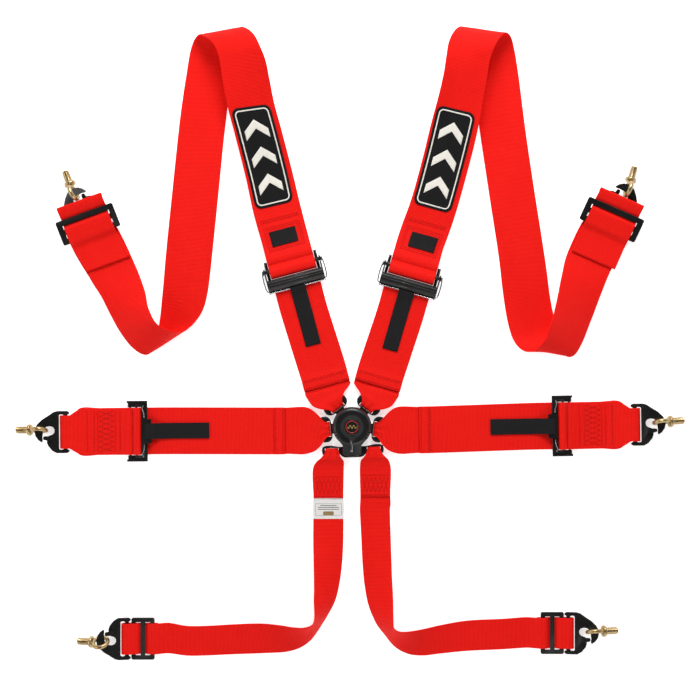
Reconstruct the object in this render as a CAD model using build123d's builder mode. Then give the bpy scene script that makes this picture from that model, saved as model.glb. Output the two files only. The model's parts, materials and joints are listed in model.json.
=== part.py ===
"""Six-point racing harness laid out flat, face up, with a rotary cam-lock buckle.

Frame: +Z up, origin on the buckle's axis at the surface the harness lies on, +Y towards the
shoulder straps. Each strap branch has its own local frame: x runs outward along the branch,
y to its left and z up.
"""
from build123d import *
from math import cos, radians, sin
import os

os.makedirs("parts", exist_ok=True)

# ---- driving dimensions (mm) ----
WEBBING = 2.0             # thickness of every strap
WIDE = 37.5               # half width of the shoulder and lap webbing
NARROW = 24.5             # half width of the crotch webbing
SLOT_HALF = 26.5          # half width of webbing gathered into a hook's slot

BUCKLE_RADIUS = 31.0
BASE_TOP = 3.0
HOUSING_TOP = 14.0
CAVITY_RADIUS = 21.0
CAVITY_TOP = 12.2
POST_RADIUS = 5.0
CAP_BOTTOM = 14.4
CAP_TOP = 26.0
LEVER_REACH = 47.0
LEVER_HALF = 15.0
SCREW_CIRCLE = 26.8
SCREW_ANGLES = (90, 229, 311)

TONGUE_BOTTOM = 6.0
TONGUE_TOP = 8.5
TONGUE_HALF = 8.0
PIN_CIRCLE = 17.5
PIN_RADIUS = 2.5
TONGUE_ANGLES = {"left_shoulder": 128, "right_shoulder": 52, "left_lap": 187, "right_lap": -7}
TONGUE_BAR = 38.7         # inner edge of each tongue's strap bar, from the buckle's axis
YOKE_TURN = 2.0           # degrees the crotch yoke sits off square
YOKE_SLOT_OFFSET = 33.5
YOKE_BAR = 37.7

HOOK_AXIS_HEIGHT = 6.5    # height of the strap bar of each hook
HOOK_THICKNESS = 4.0
HOOK_TILT = 10.5          # degrees the plate rises outward from its strap bar
GATE_PIVOT = (24.5, -10.5)
RIVET_RADIUS = 1.6

THREAD_RADIUS = 5.556     # 7/16 inch thread
SHANK_END = 39.0
RING_RADIUS = 11.75
RING_WIRE = 3.25
RING_OFFSET = (40.8, 4.0)  # ring centre from the hook's strap bar: outward, away from the mouth
SHANK_DROP = 14.0         # degrees the shank points down so that its tip rests

RUNNING_GAP = 0.08

# Each branch's hook: centre of its strap bar, azimuth, side of its mouth (+1 left, -1 right),
# reach of its two inner lugs, and the eye bolt's yaw and roll in degrees.
HOOKS = {
    "left_shoulder": dict(at=(-425, 335), azimuth=110, mouth=-1, lug=3.0, yaw=4, roll=-12),
    "right_shoulder": dict(at=(419, 342), azimuth=66.4, mouth=1, lug=3.0, yaw=5, roll=6),
    "left_lap": dict(at=(-457, -9.2), azimuth=180.6, mouth=1, lug=6.0, yaw=0, roll=14),
    "right_lap": dict(at=(451, 2.5), azimuth=1, mouth=-1, lug=6.0, yaw=2, roll=-14),
    "left_crotch": dict(at=(-359, -339), azimuth=180, mouth=-1, lug=6.0, yaw=0, roll=-30),
    "right_crotch": dict(at=(345, -330), azimuth=0, mouth=-1, lug=6.0, yaw=0, roll=-14),
}
# Each adjuster's centre and azimuth.
ADJUSTERS = {
    "left_shoulder": dict(at=(-95.5, 256), azimuth=105),
    "right_shoulder": dict(at=(96.5, 247.5), azimuth=74),
    "left_lap": dict(at=(-343, -8), azimuth=180.6),
    "right_lap": dict(at=(336, 0.5), azimuth=1),
}


# ---- frames ----
def level_plane(at, azimuth, height=0.0):
    """A level plane at a branch spot, its x along the azimuth."""
    angle = radians(azimuth)
    return Plane(origin=(at[0], at[1], height), x_dir=(cos(angle), sin(angle), 0), z_dir=(0, 0, 1))


def tilted_plane(at, azimuth, x, height, tilt):
    """A plane at a branch spot whose x rises outward by the tilt in degrees."""
    angle = radians(azimuth)
    rise = radians(tilt)
    return Plane(
        origin=spot(at, azimuth, x, 0, height),
        x_dir=(cos(angle) * cos(rise), sin(angle) * cos(rise), sin(rise)),
        z_dir=(-cos(angle) * sin(rise), -sin(angle) * sin(rise), cos(rise)),
    )


def upright_plane(at, azimuth, across=0.0):
    """An upright plane along the azimuth: its x outward, its y up, its normal to the right."""
    angle = radians(azimuth)
    origin = (at[0] - across * sin(angle), at[1] + across * cos(angle), 0)
    return Plane(origin=origin, x_dir=(cos(angle), sin(angle), 0), z_dir=(sin(angle), -cos(angle), 0))


def spot(at, azimuth, x, y, z):
    """World place of a point given in a branch's local frame."""
    angle = radians(azimuth)
    return (at[0] + x * cos(angle) - y * sin(angle), at[1] + x * sin(angle) + y * cos(angle), z)


def keep(builder, name):
    """Label a finished piece and write it as its own node."""
    builder.part.label = name
    export_step(builder.part, f"parts/{name}.step")


# ---- straps ----
def rows(at, azimuth, path, shift=0.0):
    """Edge pairs of a strap along a local path of (x, z, half width) points."""
    return [
        (spot(at, azimuth, x, shift + half, z), spot(at, azimuth, x, shift - half, z))
        for x, z, half in path
    ]


def make_strap(name, pairs):
    """One strap: a ruled solid of webbing thickness through pairs of (left, right) edge points."""
    middles = [(Vector(*left) + Vector(*right)) / 2 for left, right in pairs]
    with BuildPart() as strap:
        for index, (left, right) in enumerate(pairs):
            ahead = middles[min(index + 1, len(pairs) - 1)]
            behind = middles[max(index - 1, 0)]
            across = Vector(*right) - Vector(*left)
            along = ahead - behind
            along = along - across * (along.dot(across) / across.dot(across))
            with BuildSketch(Plane(origin=middles[index], x_dir=across, z_dir=along)):
                Rectangle(across.length, WEBBING)
        loft(ruled=True)
    keep(strap, name)


def around_bar(x, z, half, reach):
    """Half a turn of webbing over the outer side of a bar, from its top to its underside."""
    return [
        (x, z + reach, half),
        (x + reach * 0.71, z + reach * 0.71, half),
        (x + reach, z, half),
        (x + reach * 0.71, z - reach * 0.71, half),
        (x, z - reach, half),
    ]


def tongue_end(bar, angle, azimuth, flap, waist, width, spread):
    """Edge pairs of a strap end gathered into a tongue's slot, turning from its angle to azimuth.

    The top flap passes over the tongue's strap bar, through the slot and back underneath.
    """
    path = [
        (flap, 5.4, width),
        (spread, 5.6, width),
        (spread * 0.6, 7.4, waist + 0.6 * (width - waist)),
        (12.5, 9.7, waist + 0.2 * (width - waist)),
        (3, 9.9, waist),
        (-1.0, 9.5, waist),
        (-2.1, 7.25, waist),
        (-1.0, 5.0, waist),
        (3, 4.6, waist),
        (12.5, 4.0, waist + 0.2 * (width - waist)),
        (spread * 0.6, 3.2, waist + 0.6 * (width - waist)),
        (spread, 2.9, width),
        (flap, 2.8, width),
        (flap + 15, 1.4, width),
    ]
    pairs = []
    for x, z, half in path:
        turned = min(max(x - 10, 0) / (spread - 10), 1) * (azimuth - angle)
        centre = spot(bar, angle + turned / 2, x, 0, z)
        if x > spread:
            knee = spot(bar, (angle + azimuth) / 2, spread, 0, z)
            centre = spot(knee, azimuth, x - spread, 0, z)
        pairs += rows(centre, angle + turned, [(0, z, half)])
    return pairs


# Webbing through the hook of a shoulder strap, seen from the hook's strap bar: the strap comes
# in underneath, turns up through the slot, stands out as a loose loop, and returns through the
# slide to end as a tail on its own face.
SHOULDER_END = [
    (-80, 1.3, WIDE), (-24, 1.3, WIDE), (-9, 1.3, SLOT_HALF), (0, 1.3, SLOT_HALF),
    (3.9, 2.9, SLOT_HALF), (5.4, 6.5, SLOT_HALF), (6.6, 9.4, SLOT_HALF), (10, 12.2, 27.5),
    (16, 15.4, 34), (20, 17.2, WIDE), (22.8, 18.4, WIDE), (24.2, 19.1, WIDE), (24.6, 20.1, WIDE),
    (24.2, 21.1, WIDE), (22.8, 21.7, WIDE), (15, 19.3, WIDE), (9, 16.2, WIDE), (5.5, 13.8, WIDE),
    (-3, 11.8, WIDE), (-6.5, 14.0, WIDE), (-10.5, 16.6, WIDE), (-15, 16.0, WIDE),
    (-27, 13.4, WIDE), (-33.5, 11.8, WIDE), (-37.5, 8.6, WIDE), (-42, 5.0, WIDE),
    (-52, 3.6, WIDE), (-84, 3.6, WIDE),
]
# Webbing of a crotch strap through its slide and hook, seen from the hook's strap bar.
CROTCH_END = [
    (-66, 1.6, NARROW), (-57, 3.9, NARROW), (-48, 7.6, NARROW), (-43.5, 9.1, NARROW),
    (-37.6, 9.1, NARROW), (-34.9, 7.9, NARROW), (-31, 4.2, NARROW), (-28.2, 3.4, NARROW),
    (-22.8, 3.4, NARROW), (-20, 4.2, NARROW), (-16.1, 7.9, NARROW), (-13.4, 9.1, NARROW),
    (-7, 9.9, NARROW),
] + around_bar(0, HOOK_AXIS_HEIGHT, NARROW, 5.2) + [(-8, 1.2, NARROW), (-49, 1.2, NARROW)]
# The upper shoulder webbing round the adjuster's roller bar, from its tail to the long run.
ROLLER_END = [
    (46, 1.2, WIDE), (22, 1.3, WIDE), (8, 2.4, WIDE), (-2, 3.3, WIDE), (-9, 4.4, WIDE),
    (-12, 6.8, WIDE), (-12, 9.8, WIDE), (-9, 12.8, WIDE), (-4.5, 14.2, WIDE), (0.5, 13.8, WIDE),
    (4.5, 11.8, WIDE), (7.5, 9.2, WIDE), (12, 8.0, WIDE), (26, 4.2, WIDE),
]


def lap_anchor(hook_distance):
    """Sewn double strap from the lap adjuster's outer bar to its hook."""
    far = hook_distance
    return [
        (58, 1.3, WIDE), (20, 1.3, WIDE), (10.4, 1.3, WIDE), (8.3, 2.5, WIDE), (8.1, 4.7, WIDE),
        (8.5, 7.1, WIDE), (11.8, 8.1, WIDE), (18, 7.0, WIDE), (32, 4.6, WIDE), (56, 3.7, WIDE),
        (far - 34, 3.8, WIDE), (far - 22, 5.6, WIDE), (far - 9, 10.2, SLOT_HALF),
    ] + around_bar(far, HOOK_AXIS_HEIGHT, SLOT_HALF, 5.2) + [
        (far - 9, 1.2, SLOT_HALF), (far - 22, 1.2, WIDE), (60, 1.3, WIDE),
    ]


LAP_ROLL = [  # the lap webbing round the adjuster's sliding bar, from the adjuster's centre
    (-45, 1.3, WIDE), (-12, 1.3, WIDE), (-3, 1.5, WIDE), (3, 2.6, WIDE), (5.6, 5.4, WIDE),
    (5.3, 9.2, WIDE), (3.0, 11.9, WIDE), (-0.5, 12.7, WIDE), (-3.8, 11.4, WIDE),
    (-5.5, 8.6, WIDE), (-5.2, 5.0, WIDE),
]
LOWER_END = [  # the lower shoulder webbing round the adjuster frame's bar
    (-72, 3.5, WIDE), (-42, 4.6, WIDE), (-34, 6.0, WIDE), (-28.5, 6.1, WIDE), (-26.1, 3.9, WIDE),
    (-28.5, 1.3, WIDE), (-36, 1.1, WIDE), (-72, 1.2, WIDE),
]

# Long runs of the shoulder straps: (left edge, right edge) from the adjuster to the slide. Each
# strap goes up, loops over onto its back, comes down along the table and loops up again.
LEFT_SHOULDER_RUN = [
    ((-157, 338, 3), (-83, 356, 3)), ((-169, 394, 7), (-96, 410, 7)),
    ((-185, 460, 20), (-112, 472, 22)), ((-196, 504, 31), (-123, 513, 34)),
    ((-203, 544, 40), (-130, 550, 48)), ((-207, 573, 45), (-135, 574, 58)),
    ((-212, 592, 47), (-143, 594, 63)), ((-222, 607, 44), (-152, 612, 60)),
    ((-233, 615, 36), (-162, 623, 52)), ((-242, 620, 25), (-173, 629, 40)),
    ((-251, 616, 11), (-181, 624, 24)), ((-258, 600, 3), (-186, 606, 10)),
    ((-265, 561, 1.2), (-191, 561, 2)), ((-274, 500, 1.2), (-200, 502, 1.2)),
    ((-289, 360, 1.2), (-215, 357, 1.2)), ((-297, 282, 1.2), (-223, 279, 1.2)),
    ((-303, 212, 1.2), (-231, 212, 1.2)), ((-308, 166, 1.2), (-239, 184, 2)),
    ((-314, 138, 1.5), (-249, 168, 6)), ((-320, 121, 4), (-257, 159, 15)),
    ((-327, 114, 8), (-265, 152, 32)), ((-337, 116, 11), (-276, 150, 46)),
    ((-351, 127, 13), (-291, 154, 55)), ((-368, 149, 12), (-306, 164, 57)),
    ((-385, 178, 9), (-319, 187, 46)), ((-399, 205, 6), (-328, 216, 25)),
    ((-414, 231, 3), (-343, 257, 8)),
]
RIGHT_SHOULDER_RUN = [
    ((81, 325, 3), (154, 305, 3)), ((94, 361, 6), (166, 341, 6)),
    ((111, 422, 14), (183, 403, 14)), ((125, 480, 27), (197, 461, 26)),
    ((137, 526, 44), (206, 513, 34)), ((144, 559, 55), (212, 551, 41)),
    ((147, 581, 59), (216, 576, 45)), ((151, 603, 57), (223, 596, 47)),
    ((160, 621, 48), (233, 613, 41)), ((170, 631, 34), (244, 622, 30)),
    ((179, 630, 18), (253, 618, 16)), ((185, 612, 6), (259, 602, 6)),
    ((191, 575, 1.5), (265, 570, 1.5)), ((204, 474, 1.2), (278, 470, 1.2)),
    ((220, 366, 1.2), (294, 362, 1.2)), ((235, 268, 1.2), (309, 266, 1.2)),
    ((242, 208, 1.2), (316, 212, 1.2)), ((249, 166, 2), (321, 184, 1.2)),
    ((257, 139, 6), (327, 161, 1.5)), ((267, 124, 16), (334, 142, 4)),
    ((277, 119, 32), (338, 125, 8)), ((288, 122, 46), (343, 112, 11)),
    ((300, 136, 55), (353, 113, 13)), ((310, 162, 56), (366, 133, 12)),
    ((320, 195, 46), (380, 166, 9)), ((331, 237, 27), (396, 207, 6)),
    ((343, 275, 9), (411, 247, 3)),
]
# Runs of the crotch straps, which stand on edge to turn the corner.
LEFT_CROTCH_RUN = [
    ((-13.5, -150, 1.3), (-62, -150, 1.3)), ((-14, -186, 1.3), (-62, -185, 6)),
    ((-16, -220, 1.5), (-61, -218, 17)), ((-20, -252, 1.5), (-60, -249, 27)),
    ((-27, -279, 1.5), (-60, -274, 36)), ((-38, -300, 1.5), (-59, -293, 43)),
    ((-49, -318, 1.5), (-60, -305, 47)), ((-58, -332, 1.5), (-65, -311, 46)),
    ((-68, -344, 1.5), (-76, -315, 41)), ((-84, -355, 1.5), (-92, -316, 33)),
    ((-105, -361, 1.5), (-112, -315, 21)), ((-139, -363, 1.5), (-142, -314, 11)),
    ((-186, -365, 1.3), (-187, -316, 6)), ((-235, -367, 1.3), (-234, -319, 4)),
    ((-265, -367, 1.3), (-265, -319, 3)),
]
RIGHT_CROTCH_RUN = [
    ((61, -130, 1.3), (12.5, -130, 1.3)), ((62, -182, 6), (15, -182, 1.3)),
    ((63, -221, 14), (17, -222, 1.5)), ((64, -251, 22), (20, -254, 1.5)),
    ((65, -275, 30), (25, -281, 1.5)), ((65, -294, 37), (32, -301, 1.5)),
    ((65, -307, 42), (41, -319, 1.5)), ((66, -315, 45), (52, -333, 1.5)),
    ((73, -320, 43), (63, -347, 1.5)), ((84, -322, 38), (76, -358, 1.5)),
    ((99, -322, 29), (93, -365, 1.5)), ((116, -321, 17), (113, -367, 1.5)),
    ((141, -317, 8), (140, -364, 1.5)), ((180, -311, 4), (180, -360, 1.3)),
    ((240, -308, 2.5), (241, -357, 1.3)),
]


def make_shoulder_straps(side, run):
    """The lower strap, buckle tongue to adjuster, and the long upper strap beyond it."""
    branch = side + "_shoulder"
    adjuster = ADJUSTERS[branch]
    at, azimuth = adjuster["at"], adjuster["azimuth"]
    angle = TONGUE_ANGLES[branch]
    bar = spot((0, 0), angle, TONGUE_BAR, 0, 0)
    near = tongue_end(bar, angle, azimuth, 38, 10, WIDE, 33)
    make_strap(branch + "_lower_strap", rows(at, azimuth, LOWER_END) + near[::-1])
    hook = HOOKS[branch]
    tail = rows(hook["at"], hook["azimuth"], SHOULDER_END)
    make_strap(branch + "_upper_strap", rows(at, azimuth, ROLLER_END) + run + tail)


def make_lap_straps(side):
    """The lap strap, buckle tongue to adjuster, and the sewn strap from there to the hook."""
    branch = side + "_lap"
    at, azimuth = ADJUSTERS[branch]["at"], ADJUSTERS[branch]["azimuth"]
    angle = TONGUE_ANGLES[branch]
    near = tongue_end(spot((0, 0), angle, TONGUE_BAR, 0, 0), angle, azimuth, 69, 10, WIDE, 36)
    make_strap(branch + "_strap", near + rows(at, azimuth, LAP_ROLL))
    hook = HOOKS[branch]["at"]
    distance = ((hook[0] - at[0]) ** 2 + (hook[1] - at[1]) ** 2) ** 0.5
    make_strap(branch + "_anchor_strap", rows(at, azimuth, lap_anchor(distance)))


def make_crotch_strap(side, side_sign, run):
    """The crotch strap, from the yoke's slot round the corner to its hook."""
    branch = side + "_crotch"
    bar = spot((0, 0), YOKE_TURN, side_sign * YOKE_SLOT_OFFSET, -YOKE_BAR, 0)
    near = tongue_end(bar, 270 + YOKE_TURN, 270, 76, 9.5, NARROW, 28)
    hook = HOOKS[branch]
    far = rows(hook["at"], hook["azimuth"], CROTCH_END)
    make_strap(branch + "_strap", near + run + far)


make_shoulder_straps("left", LEFT_SHOULDER_RUN)
make_shoulder_straps("right", RIGHT_SHOULDER_RUN)
make_lap_straps("left")
make_lap_straps("right")
make_crotch_strap("left", -1, LEFT_CROTCH_RUN)
make_crotch_strap("right", 1, RIGHT_CROTCH_RUN)


# ---- buckle ----
def make_buckle():
    """Base, slotted housing, centre post, lock pins, screws, turning cap and its badge."""
    with BuildPart() as base:
        with BuildSketch():
            Circle(BUCKLE_RADIUS)
            for angle in SCREW_ANGLES:
                with Locations(spot((0, 0), angle, SCREW_CIRCLE, 0, 0)):
                    Circle(1.65, mode=Mode.SUBTRACT)
        extrude(amount=BASE_TOP)
        chamfer(base.edges().filter_by(GeomType.CIRCLE).sort_by(SortBy.RADIUS)[-2:], 0.6)
        with BuildSketch():
            for angle in SCREW_ANGLES:
                with Locations(spot((0, 0), angle, SCREW_CIRCLE, 0, 0)):
                    Circle(3.2)
        extrude(amount=1.9, mode=Mode.SUBTRACT)
    keep(base, "buckle_base")

    with BuildPart() as housing:
        with BuildSketch(Plane.XY.offset(BASE_TOP)):
            Circle(BUCKLE_RADIUS)
            for angle in SCREW_ANGLES:
                with Locations(spot((0, 0), angle, SCREW_CIRCLE, 0, 0)):
                    Circle(1.3, mode=Mode.SUBTRACT)
        extrude(amount=HOUSING_TOP - BASE_TOP)
        with BuildSketch(Plane.XY.offset(BASE_TOP)):
            Circle(CAVITY_RADIUS)
        extrude(amount=CAVITY_TOP - BASE_TOP, mode=Mode.SUBTRACT)
        for angle in list(TONGUE_ANGLES.values()) + [270 + YOKE_TURN]:
            with BuildSketch(level_plane((0, 0), angle, TONGUE_BOTTOM - 0.4)):
                with Locations((26, 0)):
                    Rectangle(16, 2 * TONGUE_HALF + 5)
            extrude(amount=TONGUE_TOP - TONGUE_BOTTOM + 0.8, mode=Mode.SUBTRACT)
        with BuildSketch(Plane.XY.offset(CAVITY_TOP)):
            Circle(POST_RADIUS)
            for angle in list(TONGUE_ANGLES.values()) + [270 + YOKE_TURN]:
                with Locations(spot((0, 0), angle, PIN_CIRCLE, 0, 0)):
                    Circle(PIN_RADIUS + 0.35)
        extrude(amount=HOUSING_TOP - CAVITY_TOP, mode=Mode.SUBTRACT)
    keep(housing, "buckle_housing")

    with BuildPart() as post:
        with BuildSketch(Plane.XY.offset(BASE_TOP)):
            Circle(POST_RADIUS)
        extrude(amount=20.8)
        with BuildSketch(Plane.XY.offset(BASE_TOP + 20.8)):
            Circle(POST_RADIUS + 1.8)
        extrude(amount=1.2)
    keep(post, "centre_post")

    with BuildPart() as pins:
        with BuildSketch(Plane.XY.offset(HOUSING_TOP + 0.6)):
            Circle(CAVITY_RADIUS)
            Circle(PIN_CIRCLE - 4, mode=Mode.SUBTRACT)
        extrude(amount=1.4)
        with BuildSketch(Plane.XY.offset(TONGUE_TOP + 0.5)):
            for angle in list(TONGUE_ANGLES.values()) + [270 + YOKE_TURN]:
                with Locations(spot((0, 0), angle, PIN_CIRCLE, 0, 0)):
                    Circle(PIN_RADIUS)
        extrude(amount=HOUSING_TOP + 1.0 - TONGUE_TOP - 0.5)
    keep(pins, "lock_pins")

    with BuildPart() as screws:
        for angle in SCREW_ANGLES:
            centre = spot((0, 0), angle, SCREW_CIRCLE, 0, 0)
            with BuildSketch(Plane(origin=(centre[0], centre[1], 0.3))):
                Circle(2.9)
                RegularPolygon(1.2, 6, mode=Mode.SUBTRACT)
            extrude(amount=1.5)
            with BuildSketch(Plane(origin=(centre[0], centre[1], 1.6))):
                Circle(1.25)
            extrude(amount=10)
    keep(screws, "housing_screws")

    with BuildPart() as cap:
        with BuildSketch(Plane.XZ):
            with BuildLine():
                Polyline(
                    (POST_RADIUS + RUNNING_GAP, 19.6), (26, 19.6), (28, 17.8), (28, CAP_BOTTOM),
                    (BUCKLE_RADIUS, CAP_BOTTOM), (BUCKLE_RADIUS, 20),
                )
                Spline((BUCKLE_RADIUS, 20), (28.6, 23.6), (22, CAP_TOP - 0.9))
                Polyline(
                    (22, CAP_TOP - 0.9), (14.2, CAP_TOP), (14.2, CAP_TOP - 0.8), (8.2, CAP_TOP - 0.8),
                    (8.2, 23.4), (POST_RADIUS + RUNNING_GAP, 23.4), (POST_RADIUS + RUNNING_GAP, 19.6),
                )
            make_face()
        revolve(axis=Axis.Z)
        with BuildSketch(Plane.XY.offset(17.2)):
            with BuildLine():
                Polyline((-26.5, -16), (-LEVER_HALF, -30), (-LEVER_HALF, -LEVER_REACH + 3))
                ThreePointArc(
                    (-LEVER_HALF, -LEVER_REACH + 3), (0, -LEVER_REACH - 1), (LEVER_HALF, -LEVER_REACH + 3)
                )
                Polyline((LEVER_HALF, -LEVER_REACH + 3), (LEVER_HALF, -30), (26.5, -16), (-26.5, -16))
            make_face()
            Circle(27.5, mode=Mode.SUBTRACT)
        extrude(amount=5.6, taper=6)
        with BuildSketch(Plane.YZ.offset(-2.2)):
            with BuildLine():
                Polyline(
                    (-16, 24.0), (-30, 23.6), (-LEVER_REACH + 3.5, 22.8), (-LEVER_REACH + 3.5, 24.6),
                    (-30, 25.6), (-16, 26.8), (-16, 24.0),
                )
            make_face()
        extrude(amount=4.4)
        for angle in (198, 208, 218, 322, 332, 342):
            with BuildSketch(level_plane((0, 0), angle, 22.6)):
                with Locations((29.6, 0)):
                    Rectangle(7, 2.2)
            extrude(amount=4, mode=Mode.SUBTRACT)
    keep(cap, "release_cap")

    with BuildPart() as badge:
        with BuildSketch(Plane.XY.offset(CAP_TOP - 0.8)):
            Circle(14.0)
        extrude(amount=1.6)
        chamfer(badge.edges().group_by(Axis.Z)[-1], 0.7)
    keep(badge, "cap_badge")


# ---- tongues ----
def make_tongue(branch):
    """A flat steel tongue: pin hole at its tip, narrow neck, wide strap slot."""
    with BuildPart() as tongue:
        with BuildSketch(level_plane((0, 0), TONGUE_ANGLES[branch], TONGUE_BOTTOM)):
            with BuildLine():
                half = [
                    (12.5, 4.5), (15, 7.4), (17, TONGUE_HALF), (32.2, TONGUE_HALF), (33.2, 14.5),
                    (36, 18.5), (40, 20.6), (46.5, 20.6), (49.8, 18.6), (49.8, 15.8),
                    (47, 13.6), (43.8, 12.6),
                ]
                Polyline(*half, *[(x, -y) for x, y in reversed(half)], close=True)
            make_face()
            with Locations((PIN_CIRCLE, 0)):
                Circle(PIN_RADIUS + 0.4, mode=Mode.SUBTRACT)
            with Locations((TONGUE_BAR - 2.1, 0)):
                Rectangle(4.2, 25, mode=Mode.SUBTRACT)
        extrude(amount=TONGUE_TOP - TONGUE_BOTTOM)
    keep(tongue, branch + "_tongue")


def make_yoke():
    """The crotch straps' shared tongue: one neck, a broad middle and two strap slots."""
    plane = level_plane((0, 0), 270 + YOKE_TURN, TONGUE_BOTTOM)
    with BuildPart() as yoke:
        with BuildSketch(plane):
            with BuildLine():
                half = [
                    (12.5, 4.5), (15, 7.4), (17, TONGUE_HALF), (29, TONGUE_HALF), (32.2, 14),
                    (32.2, 22), (29.6, 34), (29.6, 43), (32.0, 48.2), (38, 49.6), (44, 48.2),
                    (43.2, 21.5), (48, 17), (49.6, 12),
                ]
                Polyline(*half, *[(x, -y) for x, y in reversed(half)], close=True)
            make_face()
            with Locations((PIN_CIRCLE, 0)):
                Circle(PIN_RADIUS + 0.4, mode=Mode.SUBTRACT)
            with Locations((YOKE_BAR - 2.1, YOKE_SLOT_OFFSET), (YOKE_BAR - 2.1, -YOKE_SLOT_OFFSET)):
                Rectangle(4.2, 22, mode=Mode.SUBTRACT)
        extrude(amount=TONGUE_TOP - TONGUE_BOTTOM)
    keep(yoke, "crotch_tongue")


# ---- shoulder adjusters: a framed roller bar with a lifting lever ----
def make_shoulder_adjuster(branch):
    """Side rails with ears and a roller bar, a lifting channel lever, its wires and a pull tab."""
    at, azimuth = ADJUSTERS[branch]["at"], ADJUSTERS[branch]["azimuth"]
    axis_height = 9.0
    with BuildPart() as frame:
        with BuildSketch(level_plane(at, azimuth, 2.6)):
            with Locations((-9, 0)):
                Rectangle(49, 86)
            with Locations((-4.2, 0)):
                Rectangle(50, 76.6, mode=Mode.SUBTRACT)
        extrude(amount=2.0)
        for side in (-1, 1):
            with BuildSketch(upright_plane(at, azimuth, side * 42.0)):
                with BuildLine():
                    Polyline(
                        (-9, 4.0), (-5, 11.5), (0, 13.6), (5, 13.0), (11, 12.0), (15.5, 10.4),
                        (15.5, 4.0), close=True,
                    )
                make_face()
            extrude(amount=1.0, both=True)
        with BuildSketch(upright_plane(at, azimuth)):
            with Locations((0, axis_height)):
                Circle(3.5)
        extrude(amount=42.0, both=True)
        with BuildSketch(upright_plane(at, azimuth)):
            with Locations((0, axis_height)):
                Circle(3.0)
        extrude(amount=47.6, both=True)
        for side in (-1, 1):
            with BuildSketch(upright_plane(at, azimuth, side * 48.2)):
                with Locations((0, axis_height)):
                    Circle(4.4)
            extrude(amount=0.9, both=True)
    keep(frame, branch + "_adjuster_frame")

    with BuildPart() as lever:
        with BuildSketch(upright_plane(at, azimuth)):
            with BuildLine():
                Polyline(
                    (-15.2, 8.8), (-16.6, 12.4), (-20, 14.0), (-25, 13.4), (-29.2, 11.4),
                    (-30.6, 8.2), (-35.4, 8.2), (-35.4, 9.4), (-32.2, 9.8), (-30.8, 12.6),
                    (-26, 15.3), (-20, 16.0),
                    (-15.2, 14.2), (-13.6, 8.8), close=True,
                )
            make_face()
        extrude(amount=46.4, both=True)
        for side in (-1, 1):
            with BuildSketch(upright_plane(at, azimuth, side * 45.4)):
                with BuildLine():
                    Polyline(
                        (-31.0, 8.4), (-30.4, 12.2), (-26, 14.8), (-20, 15.5), (-14, 14.4), (-5, 14.2),
                        (2.2, 13.9), (5.2, 10.8), (5.2, 7.4), (2.2, 4.4), (-4, 5.0), (-16, 6.4),
                        close=True,
                    )
                make_face()
                with Locations((0, axis_height)):
                    Circle(3.0 + RUNNING_GAP, mode=Mode.SUBTRACT)
            extrude(amount=1.0, both=True)
    keep(lever, branch + "_lever")

    with BuildPart() as wires:
        for side in (-1, 1):
            with BuildLine() as wire_path:
                corners = [(3.5, 46.9, 15.6), (-6, 50.8, 13.8), (-17, 51.4, 11.8), (-28.5, 50.4, 11.0),
                           (-31.8, 46.9, 12.2)]
                FilletPolyline(*[spot(at, azimuth, x, side * y, z) for x, y, z in corners], radius=2.2)
            with BuildSketch(Plane(origin=wire_path.line @ 0, z_dir=wire_path.line % 0)):
                Circle(0.75)
            sweep(path=wire_path.line)
    keep(wires, branch + "_wire_springs")

    tab_path = [(-33, 11.0), (-38, 10.0), (-47, 7.4), (-60, 6.1), (-74, 5.7), (-92, 4.4), (-131, 3.9)]
    make_tab(branch, tab_path, 12.5)


def make_tab(branch, path, half):
    """A short strip of webbing pulled to free the adjuster."""
    at, azimuth = ADJUSTERS[branch]["at"], ADJUSTERS[branch]["azimuth"]
    middles = [Vector(*spot(at, azimuth, x, 0, z)) for x, z in path]
    across = Vector(*spot((0, 0), azimuth, 0, -1, 0))
    with BuildPart() as tab:
        for index, middle in enumerate(middles):
            along = middles[min(index + 1, len(path) - 1)] - middles[max(index - 1, 0)]
            with BuildSketch(Plane(origin=middle, x_dir=across, z_dir=along)):
                Rectangle(2 * half, 1.6)
        loft(ruled=True)
    keep(tab, branch + "_pull_tab")


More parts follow.
